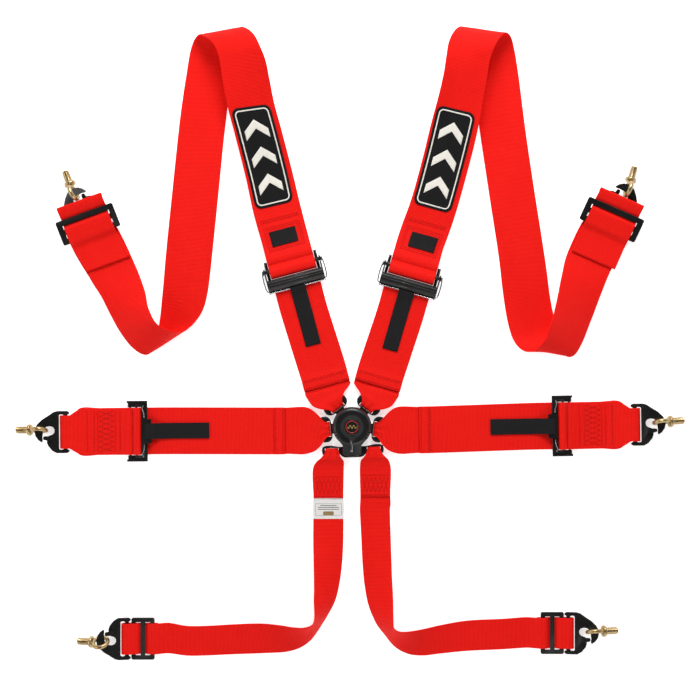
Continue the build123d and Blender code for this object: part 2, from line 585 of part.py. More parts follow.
# ---- lap adjusters: an open frame with a sprung sliding bar ----
def make_lap_adjuster(branch):
    """An open frame, a sliding grip with its handle, its wire springs and a pull tab."""
    at, azimuth = ADJUSTERS[branch]["at"], ADJUSTERS[branch]["azimuth"]
    with BuildPart() as frame:
        with BuildSketch(level_plane(at, azimuth, 3.2)):
            Rectangle(33, 97)
            with Locations((1.25, 0)):
                Rectangle(16.7, 77, mode=Mode.SUBTRACT)
            with Locations((14.6, 0)):
                Rectangle(4, 77, mode=Mode.SUBTRACT)
            with Locations((16, 41.5), (16, -41.5)):
                Rectangle(3, 7, mode=Mode.SUBTRACT)
        extrude(amount=3.0)
    keep(frame, branch + "_adjuster_frame")

    with BuildPart() as grip:
        with BuildSketch(level_plane(at, azimuth, 6.4)):
            with Locations((-5.5, 0)):
                Rectangle(15, 85)
            with Locations((-4.55, 0)):
                Rectangle(7.1, 78, mode=Mode.SUBTRACT)
        extrude(amount=3.0)
        with BuildSketch(level_plane(at, azimuth, 6.4)):
            with Locations((-15.8, 0)):
                RectangleRounded(14.4, 39, 2)
        extrude(amount=4.4)
    keep(grip, branch + "_grip")

    with BuildPart() as wires:
        for side in (-1, 1):
            with BuildLine() as wire_path:
                corners = [(-10.8, 41, 10.2), (-8.9, 36, 10.2), (-11.6, 28, 10.2), (-12.2, 21.5, 10.2)]
                FilletPolyline(*[spot(at, azimuth, x, side * y, z) for x, y, z in corners], radius=2.5)
            with BuildSketch(Plane(origin=wire_path.line @ 0, z_dir=wire_path.line % 0)):
                Circle(0.7)
            sweep(path=wire_path.line)
    keep(wires, branch + "_wire_springs")

    make_tab(branch, [(-12, 11.8), (-23.5, 11.8), (-29, 9.4), (-36, 5.4), (-46, 3.9), (-115, 3.6)], 12.5)


# ---- slides ----
def make_slide(name, plane, length, width, bar, thickness):
    """A flat three-bar slide."""
    gap = (length - 3 * bar) / 2
    with BuildPart() as slide:
        with BuildSketch(plane):
            RectangleRounded(length, width, 3)
            with Locations(((bar + gap) / 2, 0), (-(bar + gap) / 2, 0)):
                Rectangle(gap, width - 2 * bar, mode=Mode.SUBTRACT)
        extrude(amount=thickness / 2, both=True)
        chamfer(slide.faces().sort_by(Axis.Z)[-1].outer_wire().edges(), 0.6)
    keep(slide, name)



# ---- hooks, gates and eye bolts ----
def make_hook(branch):
    """A flat snap hook with a strap slot, an oval throat, and a sprung gate across its mouth."""
    side = -HOOKS[branch]["mouth"]
    lug = HOOKS[branch]["lug"]
    plane = tilted_plane(HOOKS[branch]["at"], HOOKS[branch]["azimuth"], 0, HOOK_AXIS_HEIGHT, HOOK_TILT)
    pivot = (GATE_PIVOT[0], side * GATE_PIVOT[1])
    with BuildPart() as hook:
        with BuildSketch(plane):
            outline = [
                (-3, 27.6), (-lug, 29), (-lug, 31.5), (-2.5, 33.6), (13, 33.6), (19, 32), (27, 26.5),
                (36.5, 20.5), (44, 13.5), (47.2, 8), (48.5, 1.5), (46.8, -6), (42.6, -12),
                (38, -15.4), (34.5, -15.8), (29.5, -15.8), (27.5, -21.5), (21, -29.5),
                (14, -33.5), (-2.5, -33.6), (-lug, -31.5), (-lug, -29), (-3, -27.6),
            ]
            with BuildLine():
                Polyline(*[(x, side * y) for x, y in outline], close=True)
            make_face()
            with Locations((6.6, 0)):
                RectangleRounded(7.2, 56, 2.4, mode=Mode.SUBTRACT)
            with BuildLine():
                throat = [
                    (20.5, -3.6), (17.6, -0.6), (17.2, 4.2), (19.6, 8), (24, 9.6), (29.5, 9.0),
                    (33.4, 6.2), (35.2, 2), (35.6, -3), (36.2, -8.5), (35.6, -12), (36.6, -17),
                    (29.4, -17), (29.1, -12.2), (29.2, -9), (28.0, -6.4), (25.2, -5.2),
                ]
                Polyline(*[(x, side * y) for x, y in throat], close=True)
            make_face(mode=Mode.SUBTRACT)
            with Locations(pivot):
                Circle(RIVET_RADIUS + RUNNING_GAP, mode=Mode.SUBTRACT)
        extrude(amount=HOOK_THICKNESS / 2, both=True)
    keep(hook, branch + "_hook")

    with BuildPart() as gate:
        with BuildSketch(plane.offset(HOOK_THICKNESS / 2 + 0.3)):
            leaf = [(21, -8.6), (23, -6.6), (26.5, -6.2), (31.2, -6.0), (34.6, -6.6), (35.2, -9),
                    (34.6, -11.4), (29.5, -12.8), (26.5, -14.6), (22.6, -14.2), (20.6, -12)]
            with BuildLine():
                Polyline(*[(x, side * y) for x, y in leaf], close=True)
            make_face()
        extrude(amount=1.5)
        with BuildSketch(plane.offset(-HOOK_THICKNESS / 2)):
            tooth = [(30.2, -6.9), (34.4, -7.2), (34.8, -9), (34.3, -11), (30.2, -11.6)]
            with BuildLine():
                Polyline(*[(x, side * y) for x, y in tooth], close=True)
            make_face()
        extrude(amount=HOOK_THICKNESS + 0.8)
        with BuildSketch(plane.offset(-HOOK_THICKNESS / 2 - 0.8)):
            with Locations(pivot):
                Circle(RIVET_RADIUS)
        extrude(amount=HOOK_THICKNESS + 3.2)
        with BuildSketch(plane.offset(HOOK_THICKNESS / 2 + 1.8)):
            with Locations(pivot):
                Circle(2.7)
        extrude(amount=0.9)
        with BuildSketch(plane.offset(-HOOK_THICKNESS / 2 - 1.1)):
            with Locations(pivot):
                Circle(2.7)
        extrude(amount=0.8)
    keep(gate, branch + "_gate")


def bolt_plane(branch):
    """The ring's own plane: origin at its centre, x along the shank, z the ring's axis."""
    hook = HOOKS[branch]
    centre = spot(hook["at"], hook["azimuth"], RING_OFFSET[0], -hook["mouth"] * RING_OFFSET[1], 15.0)
    shank = tilted_plane(centre[:2], hook["azimuth"] + hook["yaw"], 0, centre[2], -SHANK_DROP)
    roll = radians(hook["roll"])
    return Plane(
        origin=centre,
        x_dir=shank.x_dir,
        z_dir=shank.y_dir * cos(roll) + shank.z_dir * sin(roll),
    )


def make_eye_bolt(branch):
    """A forged eye bolt: ring, thick collar and threaded shank."""
    plane = bolt_plane(branch)
    with BuildPart() as bolt:
        shank_plane = Plane(origin=plane.origin, x_dir=plane.z_dir, z_dir=plane.x_dir)
        with BuildSketch(shank_plane.offset(9.2)):
            RegularPolygon(9.6, 8)
        extrude(amount=9.6)
        chamfer(bolt.faces().sort_by(Axis(plane.origin, plane.x_dir))[-1].edges(), 1.2)
        with BuildSketch(shank_plane.offset(18.8)):
            Circle(THREAD_RADIUS)
        extrude(amount=SHANK_END - 18.8)
        chamfer(bolt.faces().sort_by(Axis(plane.origin, plane.x_dir))[-1].edges(), 0.9)
        ring_section = Plane(origin=plane.origin, x_dir=plane.y_dir, z_dir=plane.x_dir)
        with BuildSketch(ring_section):
            with Locations((RING_RADIUS, 0)):
                Circle(RING_WIRE)
        revolve(axis=Axis(plane.origin, plane.z_dir))
    keep(bolt, branch + "_eye_bolt")


make_buckle()
for branch_name in TONGUE_ANGLES:
    make_tongue(branch_name)
make_yoke()
make_shoulder_adjuster("left_shoulder")
make_shoulder_adjuster("right_shoulder")
make_lap_adjuster("left_lap")
make_lap_adjuster("right_lap")
for side_name in ("left", "right"):
    shoulder = HOOKS[side_name + "_shoulder"]
    make_slide(
        side_name + "_shoulder_slide",
        tilted_plane(shoulder["at"], shoulder["azimuth"], -14.1, 12.7, 11.3), 39, 96, 9, 2.8,
    )
    crotch = HOOKS[side_name + "_crotch"]
    make_slide(
        side_name + "_crotch_slide",
        level_plane(spot(crotch["at"], crotch["azimuth"], -25.5, 0, 0)[:2], crotch["azimuth"], 6.2),
        37, 67, 7, 2.8,
    )
for branch_name in HOOKS:
    make_hook(branch_name)
    make_eye_bolt(branch_name)
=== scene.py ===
"""Looks of the racing harness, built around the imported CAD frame.

Straps are smooth ribbons through the same stations as the CAD, each with its own weave, stitching
and edges. Metal pieces keep their CAD shape with rounded edges and their own finishes, apart from
the eye bolts and the shoulder adjusters' wire springs, which are modelled again.
"""

import json
import math
from bisect import bisect_right

import bmesh
import bpy
from mathutils import Matrix, Vector, noise


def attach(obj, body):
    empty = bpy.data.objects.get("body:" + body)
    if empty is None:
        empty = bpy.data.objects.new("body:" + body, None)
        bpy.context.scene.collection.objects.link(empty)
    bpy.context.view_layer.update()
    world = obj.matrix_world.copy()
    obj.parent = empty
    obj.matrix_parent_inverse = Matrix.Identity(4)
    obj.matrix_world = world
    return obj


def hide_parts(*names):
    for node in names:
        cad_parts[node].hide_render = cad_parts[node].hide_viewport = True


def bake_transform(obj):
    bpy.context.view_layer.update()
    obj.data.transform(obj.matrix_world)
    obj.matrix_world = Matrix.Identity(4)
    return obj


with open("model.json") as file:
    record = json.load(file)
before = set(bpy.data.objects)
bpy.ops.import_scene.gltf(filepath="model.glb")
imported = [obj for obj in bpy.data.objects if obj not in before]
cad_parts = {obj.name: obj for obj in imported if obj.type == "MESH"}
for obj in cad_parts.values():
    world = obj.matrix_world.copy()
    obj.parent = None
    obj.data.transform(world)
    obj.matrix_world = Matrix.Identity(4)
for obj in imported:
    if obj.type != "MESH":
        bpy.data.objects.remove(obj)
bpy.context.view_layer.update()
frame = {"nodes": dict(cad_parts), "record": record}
NODES = frame["nodes"]

MM = 0.001

# ---- driving dimensions (mm), as in the CAD ----
WIDE = 37.5
NARROW = 24.5
SLOT_HALF = 26.5
THICKNESS = 1.7
TONGUE_BAR = 38.7
YOKE_TURN = 2.0
YOKE_SLOT_OFFSET = 33.5
YOKE_BAR = 37.7
HOOK_AXIS_HEIGHT = 6.5
RING_RADIUS = 11.75
RING_WIRE = 3.25
RING_OFFSET = (40.8, 4.0)
RING_HEIGHT = 15.0
SHANK_DROP = 14.0
SHANK_START = 18.8
SHANK_END = 39.0
THREAD_RADIUS = 5.556
THREAD_PITCH = 1.27
THREAD_LINE = ((0.0, 0.0), (0.22, 0.62), (0.5, 0.74), (0.78, 0.62))
CORE_RADIUS = 4.9
RING_STEPS = 72
WIRE_STEPS = 20
SHANK_STEPS = 32
COLLAR = [
    (11.5, 2.6), (12.2, 5.0), (12.8, 7.4), (13.6, 8.7), (14.6, 9.2), (16.8, 9.2), (17.7, 8.7),
    (18.2, 7.0), (18.4, 5.3),
]
TONGUE_WAIST = 11.6
YOKE_WAIST = 10.4
CAP_FACE = 26.8
TOP = THICKNESS / 2

# ---- how the webbing lies (mm) ----
RIBBON_STEP = 3.0
LOWEST = 1.3
WAVE_START = 60
WAVE_END = 110
WAVE_FADE = 60
BROAD_WAVE = 0.75
FINE_WAVE = 0.22
FOLD_HEIGHT = 1.3

# ---- what is sewn on it (mm, sizes along and across the strap) ----
# A reach is the stretch of the strap's length in which the piece's place is sought.
STITCH_RADIUS = 0.42
STITCH_PITCH = 3.7
ZIGZAG_TEETH = 26
SEAM_MARGIN = 3
PATCH_REACH = (85, 500)
PATCH_SIZE = (161, 62)
PATCH_CORNER = 11
PATCH_HEIGHT = 1.1
BORDER_INSET = 4
BORDER_CORNER = 8
BORDER_BAND = 2.2
MARK_HEIGHT = 0.6
SINK = 0.1
CHEVRON_PITCH = 44
CHEVRON_SIZE = (17, 19)
CHEVRON_STROKE = 15
CHEVRON_STEPS = 16
KEEPER_REACH = (85, 300)
KEEPER_SIZE = (25, 43)
KEEPER_HEIGHT = 1.6
TAB_HALF = 12.5
TAB_THICKNESS = 1.5
LABEL_REACH = (60, 400)
LABEL_SIZE = (34, 48.4)
LABEL_HEIGHT = 0.6
LABEL_PLACE = (-38.8, -132.4)

# ---- metal edges, stage, lights and camera (m, degrees, W) ----
WELD_GAP = 0.00002
EDGE_BEVEL = 0.0005
CAP_BEVEL = 0.0009
EDGE_ANGLE = 38
FLOOR_LEVEL = -0.0004
FLOOR_HALF = 6
LIGHTS = [  # name, place, target, size, power
    ("key", (0.1, 1.9, 1.5), (0, 0.1, 0), 1.0, 52),
    ("fill", (-1.9, -0.6, 1.5), (0, 0, 0), 1.2, 12),
    ("front", (0.5, -1.9, 1.5), (0, -0.2, 0), 1.2, 14),
]
CAMERA_PLACE = (-0.0032, 0.1216, 2.2)
LENS = 70.7
SENSOR = 36

TONGUE_ANGLES = {"left_shoulder": 128, "right_shoulder": 52, "left_lap": 187, "right_lap": -7}
HOOKS = {  # place, azimuth, side of the mouth, yaw and roll of the eye bolt
    "left_shoulder": ((-425, 335), 110, -1, 4, -12),
    "right_shoulder": ((419, 342), 66.4, 1, 5, 6),
    "left_lap": ((-457, -9.2), 180.6, 1, 0, 14),
    "right_lap": ((451, 2.5), 1, -1, 2, -14),
    "left_crotch": ((-359, -339), 180, -1, 0, -30),
    "right_crotch": ((345, -330), 0, -1, 0, -14),
}
ADJUSTERS = {  # place, azimuth
    "left_shoulder": ((-95.5, 256), 105),
    "right_shoulder": ((96.5, 247.5), 74),
    "left_lap": ((-343, -8), 180.6),
    "right_lap": ((336, 0.5), 1),
}

SHOULDER_END = [
    (-24, 1.3, WIDE), (-9, 1.3, SLOT_HALF), (0, 1.3, SLOT_HALF),
    (3.9, 2.9, SLOT_HALF), (5.4, 6.5, SLOT_HALF), (6.6, 9.4, SLOT_HALF), (10, 12.2, 27.5),
    (16, 15.4, 34), (20, 17.2, WIDE), (22.8, 18.4, WIDE), (24.2, 19.1, WIDE), (24.6, 20.1, WIDE),
    (24.2, 21.1, WIDE), (22.8, 21.7, WIDE), (15, 19.3, WIDE), (9, 16.2, WIDE), (5.5, 13.8, WIDE),
    (-3, 11.8, WIDE), (-6.5, 14.0, WIDE), (-10.5, 16.6, WIDE), (-15, 16.0, WIDE),
    (-27, 13.4, WIDE), (-33.5, 11.8, WIDE), (-37.5, 8.6, WIDE), (-42, 5.4, WIDE),
    (-54, 4.4, WIDE), (-84, 5.0, WIDE),
]
BAR_TURN = [(0, 5.2), (5.2, 4.3), (8.2, 0), (5.2, -4.3), (0, -5.2)]
CROTCH_END = [(x, z, NARROW) for x, z in [
    (-66, 1.6), (-57, 3.9), (-48, 7.6), (-43.5, 9.1), (-37.6, 9.1), (-34.9, 7.9), (-31, 4.2),
    (-28.2, 3.4), (-22.8, 3.4), (-20, 4.2), (-16.1, 7.9), (-13.4, 9.1), (-7, 9.9),
] + [(x, HOOK_AXIS_HEIGHT + z) for x, z in BAR_TURN] + [(-8, 1.2), (-49, 1.2)]]
ROLLER_END = [(x, z, WIDE) for x, z in [
    (46, 1.2), (22, 1.3), (8, 2.4), (-2, 3.3), (-9, 4.4), (-12, 6.8), (-12, 9.8), (-9, 12.8),
    (-4.5, 14.2), (0.5, 13.8), (4.5, 11.8), (7.6, 8.8), (9.6, 8.2), (12.5, 9.9), (18, 10.8),
    (28, 8.6), (46, 5.0),
]]
LAP_ROLL = [(x, z, WIDE) for x, z in [
    (-45, 1.3), (-12, 1.3), (-3, 1.5), (3, 2.6), (5.6, 5.4), (5.3, 9.2), (3.0, 11.9),
    (-0.5, 12.7), (-3.8, 11.4), (-5.5, 8.6), (-5.2, 5.0),
]]
LOWER_END = [(x, z, WIDE) for x, z in [
    (-72, 3.5), (-42, 4.6), (-34, 6.0), (-28.5, 6.1), (-26.1, 3.9), (-28.5, 1.3), (-36, 1.1),
    (-72, 1.2),
]]
# Stations of the free runs, in world coordinates: x, y, z of one edge, then of the other.
LEFT_SHOULDER_RUN = [
    (-157, 338, 3, -83, 356, 3), (-169, 394, 7, -96, 410, 7), (-185, 460, 20, -112, 472, 22),
    (-196, 504, 31, -123, 513, 34), (-203, 544, 40, -130, 550, 48), (-207, 573, 45, -135, 574, 58),
    (-212, 592, 47, -143, 594, 63), (-222, 607, 44, -152, 612, 60), (-233, 615, 36, -162, 623, 52),
    (-242, 620, 25, -173, 629, 40), (-251, 616, 11, -181, 624, 24), (-258, 600, 3, -186, 606, 10),
    (-265, 561, 1.2, -191, 561, 2), (-274, 500, 1.2, -200, 502, 1.2),
    (-289, 360, 1.2, -215, 357, 1.2), (-297, 282, 1.2, -223, 279, 1.2),
    (-303, 212, 1.2, -231, 212, 1.2), (-308, 166, 1.2, -239, 184, 2),
    (-314, 138, 1.5, -249, 168, 6), (-320, 121, 4, -257, 159, 15), (-327, 114, 8, -265, 152, 32),
    (-337, 116, 11, -276, 150, 46), (-351, 127, 13, -291, 154, 55), (-368, 149, 12, -306, 164, 57),
    (-385, 178, 9, -319, 187, 46), (-399, 205, 6, -328, 216, 25), (-418, 234, 1.6, -348, 261, 2.8),
]
RIGHT_SHOULDER_RUN = [
    (81, 325, 3, 154, 305, 3), (94, 361, 6, 166, 341, 6), (111, 422, 14, 183, 403, 14),
    (125, 480, 27, 197, 461, 26), (137, 526, 44, 206, 513, 34), (144, 559, 55, 212, 551, 41),
    (147, 581, 59, 216, 576, 45), (151, 603, 57, 223, 596, 47), (160, 621, 48, 233, 613, 41),
    (170, 631, 34, 244, 622, 30), (179, 630, 18, 253, 618, 16), (185, 612, 6, 259, 602, 6),
    (191, 575, 1.5, 265, 570, 1.5), (204, 474, 1.2, 278, 470, 1.2), (220, 366, 1.2, 294, 362, 1.2),
    (235, 268, 1.2, 309, 266, 1.2), (242, 208, 1.2, 316, 212, 1.2), (249, 166, 2, 321, 184, 1.2),
    (257, 139, 6, 327, 161, 1.5), (267, 124, 16, 334, 142, 4), (277, 119, 32, 338, 125, 8),
    (288, 122, 46, 343, 112, 11), (300, 136, 55, 353, 113, 13), (310, 162, 56, 366, 133, 12),
    (320, 195, 46, 380, 166, 9), (331, 237, 27, 396, 207, 6), (344, 276, 2.8, 413, 247, 1.6),
]
LEFT_CROTCH_RUN = [
    (-13.5, -150, 1.3, -62, -150, 1.3), (-14, -186, 1.3, -62, -185, 6),
    (-16, -220, 1.5, -61, -218, 17), (-20, -252, 1.5, -60, -249, 27),
    (-27, -279, 1.5, -60, -274, 36), (-38, -300, 1.5, -59, -293, 43),
    (-49, -318, 1.5, -60, -305, 47), (-58, -332, 1.5, -65, -311, 46),
    (-68, -344, 1.5, -76, -315, 41), (-84, -355, 1.5, -92, -316, 33),
    (-105, -361, 1.5, -112, -315, 21), (-139, -363, 1.5, -142, -314, 11),
    (-186, -365, 1.3, -187, -316, 6), (-235, -367, 1.3, -234, -319, 4),
    (-265, -367, 1.3, -265, -319, 3),
]
RIGHT_CROTCH_RUN = [
    (61, -130, 1.3, 12.5, -130, 1.3), (62, -182, 6, 15, -182, 1.3), (63, -221, 14, 17, -222, 1.5),
    (64, -251, 22, 20, -254, 1.5), (65, -275, 30, 25, -281, 1.5), (65, -294, 37, 32, -301, 1.5),
    (65, -307, 42, 41, -319, 1.5), (66, -315, 45, 52, -333, 1.5), (73, -320, 43, 63, -347, 1.5),
    (84, -322, 38, 76, -358, 1.5), (99, -322, 29, 93, -365, 1.5), (116, -321, 17, 113, -367, 1.5),
    (141, -317, 8, 140, -364, 1.5), (180, -311, 4, 180, -360, 1.3),
    (240, -308, 2.5, 241, -357, 1.3),
]
SHOULDER_TAB = [(-33, 11.0), (-38, 10.0), (-47, 7.4), (-60, 6.1), (-74, 5.7), (-92, 4.4), (-131, 3.9)]
LAP_TAB = [(-12, 11.8), (-23.5, 11.8), (-29, 9.4), (-36, 5.4), (-46, 3.9), (-115, 3.6)]


# ---- places on a branch ----
def spot(at, azimuth, x, y, z):
    """World place, in mm, of a point given in a branch's local frame."""
    angle = math.radians(azimuth)
    return Vector((
        at[0] + x * math.cos(angle) - y * math.sin(angle),
        at[1] + x * math.sin(angle) + y * math.cos(angle),
        z,
    ))


def rows(at, azimuth, path):
    """Edge pairs of a strap along a local path of (x, z, half width) points."""
    return [
        (spot(at, azimuth, x, half, z), spot(at, azimuth, x, -half, z))
        for x, z, half in path
    ]


def edge_pairs(run):
    """Edge pairs of a strap along a run's stations."""
    return [(row[:3], row[3:]) for row in run]


def tongue_end(bar, angle, azimuth, flap, waist, width, spread, drift=0.0):
    """Edge pairs of the loop gathered into a tongue's slot, and of the ply sewn over its ends.

    Both lists start at the flap's edge; the loop runs over the bar and back underneath.
    """
    narrow = waist + 0.45 * (width - waist)
    broad = waist + 0.8 * (width - waist)
    loop = [
        (flap, 3.3, width - 0.5), (flap - 8, 3.5, width - 0.5), (spread, 5.0, width),
        (spread * 0.62, 7.6, broad), (12.5, 10.1, narrow), (4, 10.1, waist + 1.5),
        (-1.4, 9.5, waist), (-3.2, 7.25, waist), (-1.8, 5.1, waist), (3, 4.5, waist),
        (12.5, 3.2, narrow), (spread * 0.62, 2.4, broad), (spread, 1.7, width),
        (flap - 2, 1.3, width - 0.5), (flap + 14, 1.3, width),
    ]
    cover = [(flap, 5.3, width), (flap + 14, 5.0, width), (flap + 28, 2.6, width)]

    def pairs(path):
        found = []
        for x, z, half in path:
            turned = min(max(x - 10, 0) / (spread - 10), 1) * (azimuth - angle)
            shift = min(max(x - 4, 0) / (spread - 4), 1) * drift
            centre = spot(bar, angle + turned / 2, x, shift, z)
            if x > spread:
                knee = spot(bar, (angle + azimuth) / 2, spread, shift, z)
                centre = spot(knee, azimuth, x - spread, 0, z)
            found += rows(centre, angle + turned, [(0, z, half)])
        return found

    return pairs(loop), pairs(cover)


def lap_anchor(far):
    """Path of the sewn strap from the lap adjuster's outer bar to its hook."""
    return [
        (58, 1.3, WIDE), (20, 1.3, WIDE), (10.4, 1.3, WIDE), (8.3, 2.5, WIDE), (8.1, 4.7, WIDE),
        (8.5, 7.1, WIDE), (11.8, 8.1, WIDE), (18, 7.0, WIDE), (32, 4.6, WIDE), (56, 3.7, WIDE),
        (far - 34, 3.8, WIDE), (far - 25, 5.2, WIDE), (far - 20, 6.4, 35),
        (far - 13, 8.6, 30.5), (far - 7, 10.6, SLOT_HALF),
    ] + [(far + x, HOOK_AXIS_HEIGHT + z, SLOT_HALF) for x, z in BAR_TURN] + [
        (far - 9, 1.2, SLOT_HALF), (far - 22, 1.2, WIDE), (60, 1.3, WIDE),
    ]


# ---- ribbons ----
class Ribbon:
    """A smooth band through pairs of edge points.

    A place on it is (s, v): s is the length along it in mm, v goes from -1 to 1 across it.
    """

    def __init__(self, pairs, ripple=0.0):
        knots = [(Vector(a), Vector(b)) for a, b in pairs]
        middles = [(a + b) / 2 for a, b in knots]
        spans = [(b - a).length for a, b in zip(middles, middles[1:])]
        gaps = [max(span, 0.1) ** 0.5 for span in spans]
        knots = knots[:1] + knots + knots[-1:]
        gaps = gaps[:1] + gaps + gaps[-1:]
        last = len(spans) - 1
        edges = [], []
        for i, span in enumerate(spans):
            pieces = max(3, math.ceil(span / RIBBON_STEP))
            for k in range(pieces + (i == last)):
                for side, edge in enumerate(edges):
                    p = [knot[side] for knot in knots[i:i + 4]]
                    point = self.bend(p, gaps[i:i + 3], k / pieces, i == 0, i == last)
                    point.z = max(point.z, LOWEST)
                    edge.append(point)
        self.middles = [(a + b) / 2 for a, b in zip(*edges)]
        self.across = [b - a for a, b in zip(*edges)]
        self.s = [0.0]
        for a, b in zip(self.middles, self.middles[1:]):
            self.s.append(self.s[-1] + (b - a).length)
        self.length = self.s[-1]
        self.normals = []
        for i, across in enumerate(self.across):
            near = self.middles[max(i - 1, 0):i + 2]
            self.normals.append(across.cross(near[-1] - near[0]).normalized())
        self.ripple = ripple
        self.full = max(across.length for across in self.across)

    @staticmethod
    def bend(p, gaps, t, first, last):
        """Centripetal Catmull-Rom between the two middle points of p."""
        d0, d1, d2 = gaps
        m1 = (p[2] - p[1]) if first else (
            (p[1] - p[0]) / d0 - (p[2] - p[0]) / (d0 + d1) + (p[2] - p[1]) / d1) * d1
        m2 = (p[2] - p[1]) if last else (
            (p[2] - p[1]) / d1 - (p[3] - p[1]) / (d1 + d2) + (p[3] - p[2]) / d2) * d1
        a = 2 * t ** 3 - 3 * t ** 2 + 1
        b = t ** 3 - 2 * t ** 2 + t
        c = -2 * t ** 3 + 3 * t ** 2
        d = t ** 3 - t ** 2
        return p[1] * a + m1 * b + p[2] * c + m2 * d

    def index(self, s):
        """The station just before s and the share of the way to the next."""
        s = min(max(s, 0.0), self.length)
        i = min(bisect_right(self.s, s), len(self.s) - 1) - 1
        return i, (s - self.s[i]) / max(self.s[i + 1] - self.s[i], 1e-6)

    def wave(self, s, v):
        """Slow ripples of the webbing, fading out at both ends."""
        fade = min(1, max(0, min(s - WAVE_START, self.length - WAVE_END - s) / WAVE_FADE))
        if not self.ripple or fade <= 0:
            return 0.0
        broad = noise.noise(Vector((s / 55, v * 1.1, self.ripple)))
        fine = noise.noise(Vector((s / 17, v * 2.3, self.ripple + 9)))
        return fade * (BROAD_WAVE * broad + FINE_WAVE * fine)

    def pleat(self, s, across, v):
        """Soft lengthwise folds where the webbing is gathered narrower than its full width."""
        gathered = max(0.0, 1 - across.length / self.full)
        lean = noise.noise(Vector((s / 30, v * 0.7, self.full)))
        return FOLD_HEIGHT * gathered * math.cos(2.6 * math.pi * v + 2.2 * lean)

    def at(self, s, v, lift=0.0):
        """World place, in mm, at s along and v across, lifted along the upper side's normal."""
        i, t = self.index(s)
        middle = self.middles[i].lerp(self.middles[i + 1], t)
        across = self.across[i].lerp(self.across[i + 1], t)
        normal = self.normal(s)
        folds = self.pleat(s, across, v) * normal.z ** 2
        return middle + across * (v / 2) + normal * (lift + self.wave(s, v) + folds)

    def normal(self, s):
        """Unit normal of the upper side at s."""
        i, t = self.index(s)
        return self.normals[i].lerp(self.normals[i + 1], t).normalized()

    def half(self, s):
        """Half the webbing's width at s."""
        i, t = self.index(s)
        return self.across[i].lerp(self.across[i + 1], t).length / 2

    def nearest(self, target, low=0.0, high=None):
        """The length along the ribbon whose middle is nearest the target, in mm, between limits."""
        high = self.length if high is None else high
        best = min(
            (i for i in range(len(self.s)) if low <= self.s[i] <= high),
            key=lambda i: (self.middles[i].xy - Vector(target[:2])).length,
        )
        return self.s[best]


# One side of the webbing in section: (share of the half width, share of the half thickness).
PROFILE = [
    (-1.0, 0.35), (-0.985, 0.95), (-0.955, 1.12), (-0.925, 1.0), (-0.9, 0.92), (-0.82, 0.97),
    (-0.66, 1.0), (-0.5, 1.0), (-0.33, 1.0), (-0.17, 1.0), (0.0, 1.0),
]
PROFILE += [(-v, t) for v, t in reversed(PROFILE[:-1])]


def mesh_object(name, bm, material):
    """A smooth-shaded object in metres from a bmesh in millimetres."""
    mesh = bpy.data.meshes.new(name)
    bmesh.ops.scale(bm, vec=(MM, MM, MM), verts=bm.verts)
    bmesh.ops.recalc_face_normals(bm, faces=bm.faces)
    bm.to_mesh(mesh)
    bm.free()
    mesh.materials.append(material)
    mesh.shade_smooth()
    piece = bpy.data.objects.new(name, mesh)
    bpy.context.scene.collection.objects.link(piece)
    return piece


def tube(bm, rings):
    """Quads between rings of the same count, one after another."""
    count = len(rings[0])
    for first, second in zip(rings, rings[1:]):
        for k in range(count):
            after = (k + 1) % count
            bm.faces.new((first[k], first[after], second[after], second[k]))


def skin(bm, rings):
    """A closed bar through rings of the same count."""
    tube(bm, rings)
    bm.faces.new(rings[0])
    bm.faces.new(rings[-1])


def weave_layer(bm, places):
    """Writes each vertex's flat place, in mm, as the weave's coordinates in metres."""
    layer = bm.loops.layers.uv.new("weave")
    for face in bm.faces:
        for loop in face.loops:
            x, y = places[loop.vert]
            loop[layer].uv = (x * MM, y * MM)


def ribbon_mesh(name, ribbon, material, thickness=THICKNESS):
    """A closed band of webbing along a ribbon, with its weave's coordinates."""
    bm = bmesh.new()
    rings = []
    places = {}
    for s in ribbon.s:
        ring = []
        half = ribbon.half(s)
        for side, order in ((1, PROFILE), (-1, PROFILE[::-1])):
            for v, share in order:
                vert = bm.verts.new(ribbon.at(s, v, side * share * thickness / 2))
                places[vert] = (v * half, s)
                ring.append(vert)
        rings.append(ring)
    tube(bm, rings)
    count = len(rings[0])
    for ring in (rings[0], rings[-1]):
        for k in range(count // 2 - 1):
            bm.faces.new((ring[k], ring[k + 1], ring[count - 2 - k], ring[count - 1 - k]))
    weave_layer(bm, places)
    return mesh_object(name, bm, material)


# ---- stitching ----
def add_stitch(bm, a, b, up):
    """One raised thread between two points on the cloth."""
    along = b - a
    side = along.cross(up).normalized()
    rings = []
    for share, swell in ((0.0, 0.25), (0.14, 0.8), (0.5, 1.0), (0.86, 0.8), (1.0, 0.25)):
        centre = a + along * share + up * (STITCH_RADIUS * (swell - 0.45))
        radius = STITCH_RADIUS * swell
        rings.append([
            bm.verts.new(centre + (side * math.cos(turn) + up * math.sin(turn)) * radius)
            for turn in full_turn(6)
        ])
    skin(bm, rings)


def stitch_path(bm, ribbon, path, lift):
    """Stitches along a path of (s, y) points on a ribbon, y in mm from its middle."""
    sign = 1 if lift > 0 else -1
    for (s0, y0), (s1, y1) in zip(path, path[1:]):
        span = math.hypot(s1 - s0, y1 - y0)
        count = max(1, round(span / STITCH_PITCH))
        for k in range(count):
            ends = []
            for t in ((k + 0.1) / count, (k + 0.9) / count):
                s = s0 + (s1 - s0) * t
                ends.append(ribbon.at(s, (y0 + (y1 - y0) * t) / ribbon.half(s), lift))
            add_stitch(bm, ends[0], ends[1], ribbon.normal(s0) * sign)


def zigzag(s0, s1, half, teeth):
    """A zigzag row of (s, y) points across the strap between two lengths."""
    return [
        (s0 if k % 2 == 0 else s1, -half + 2 * half * k / teeth)
        for k in range(teeth + 1)
    ]


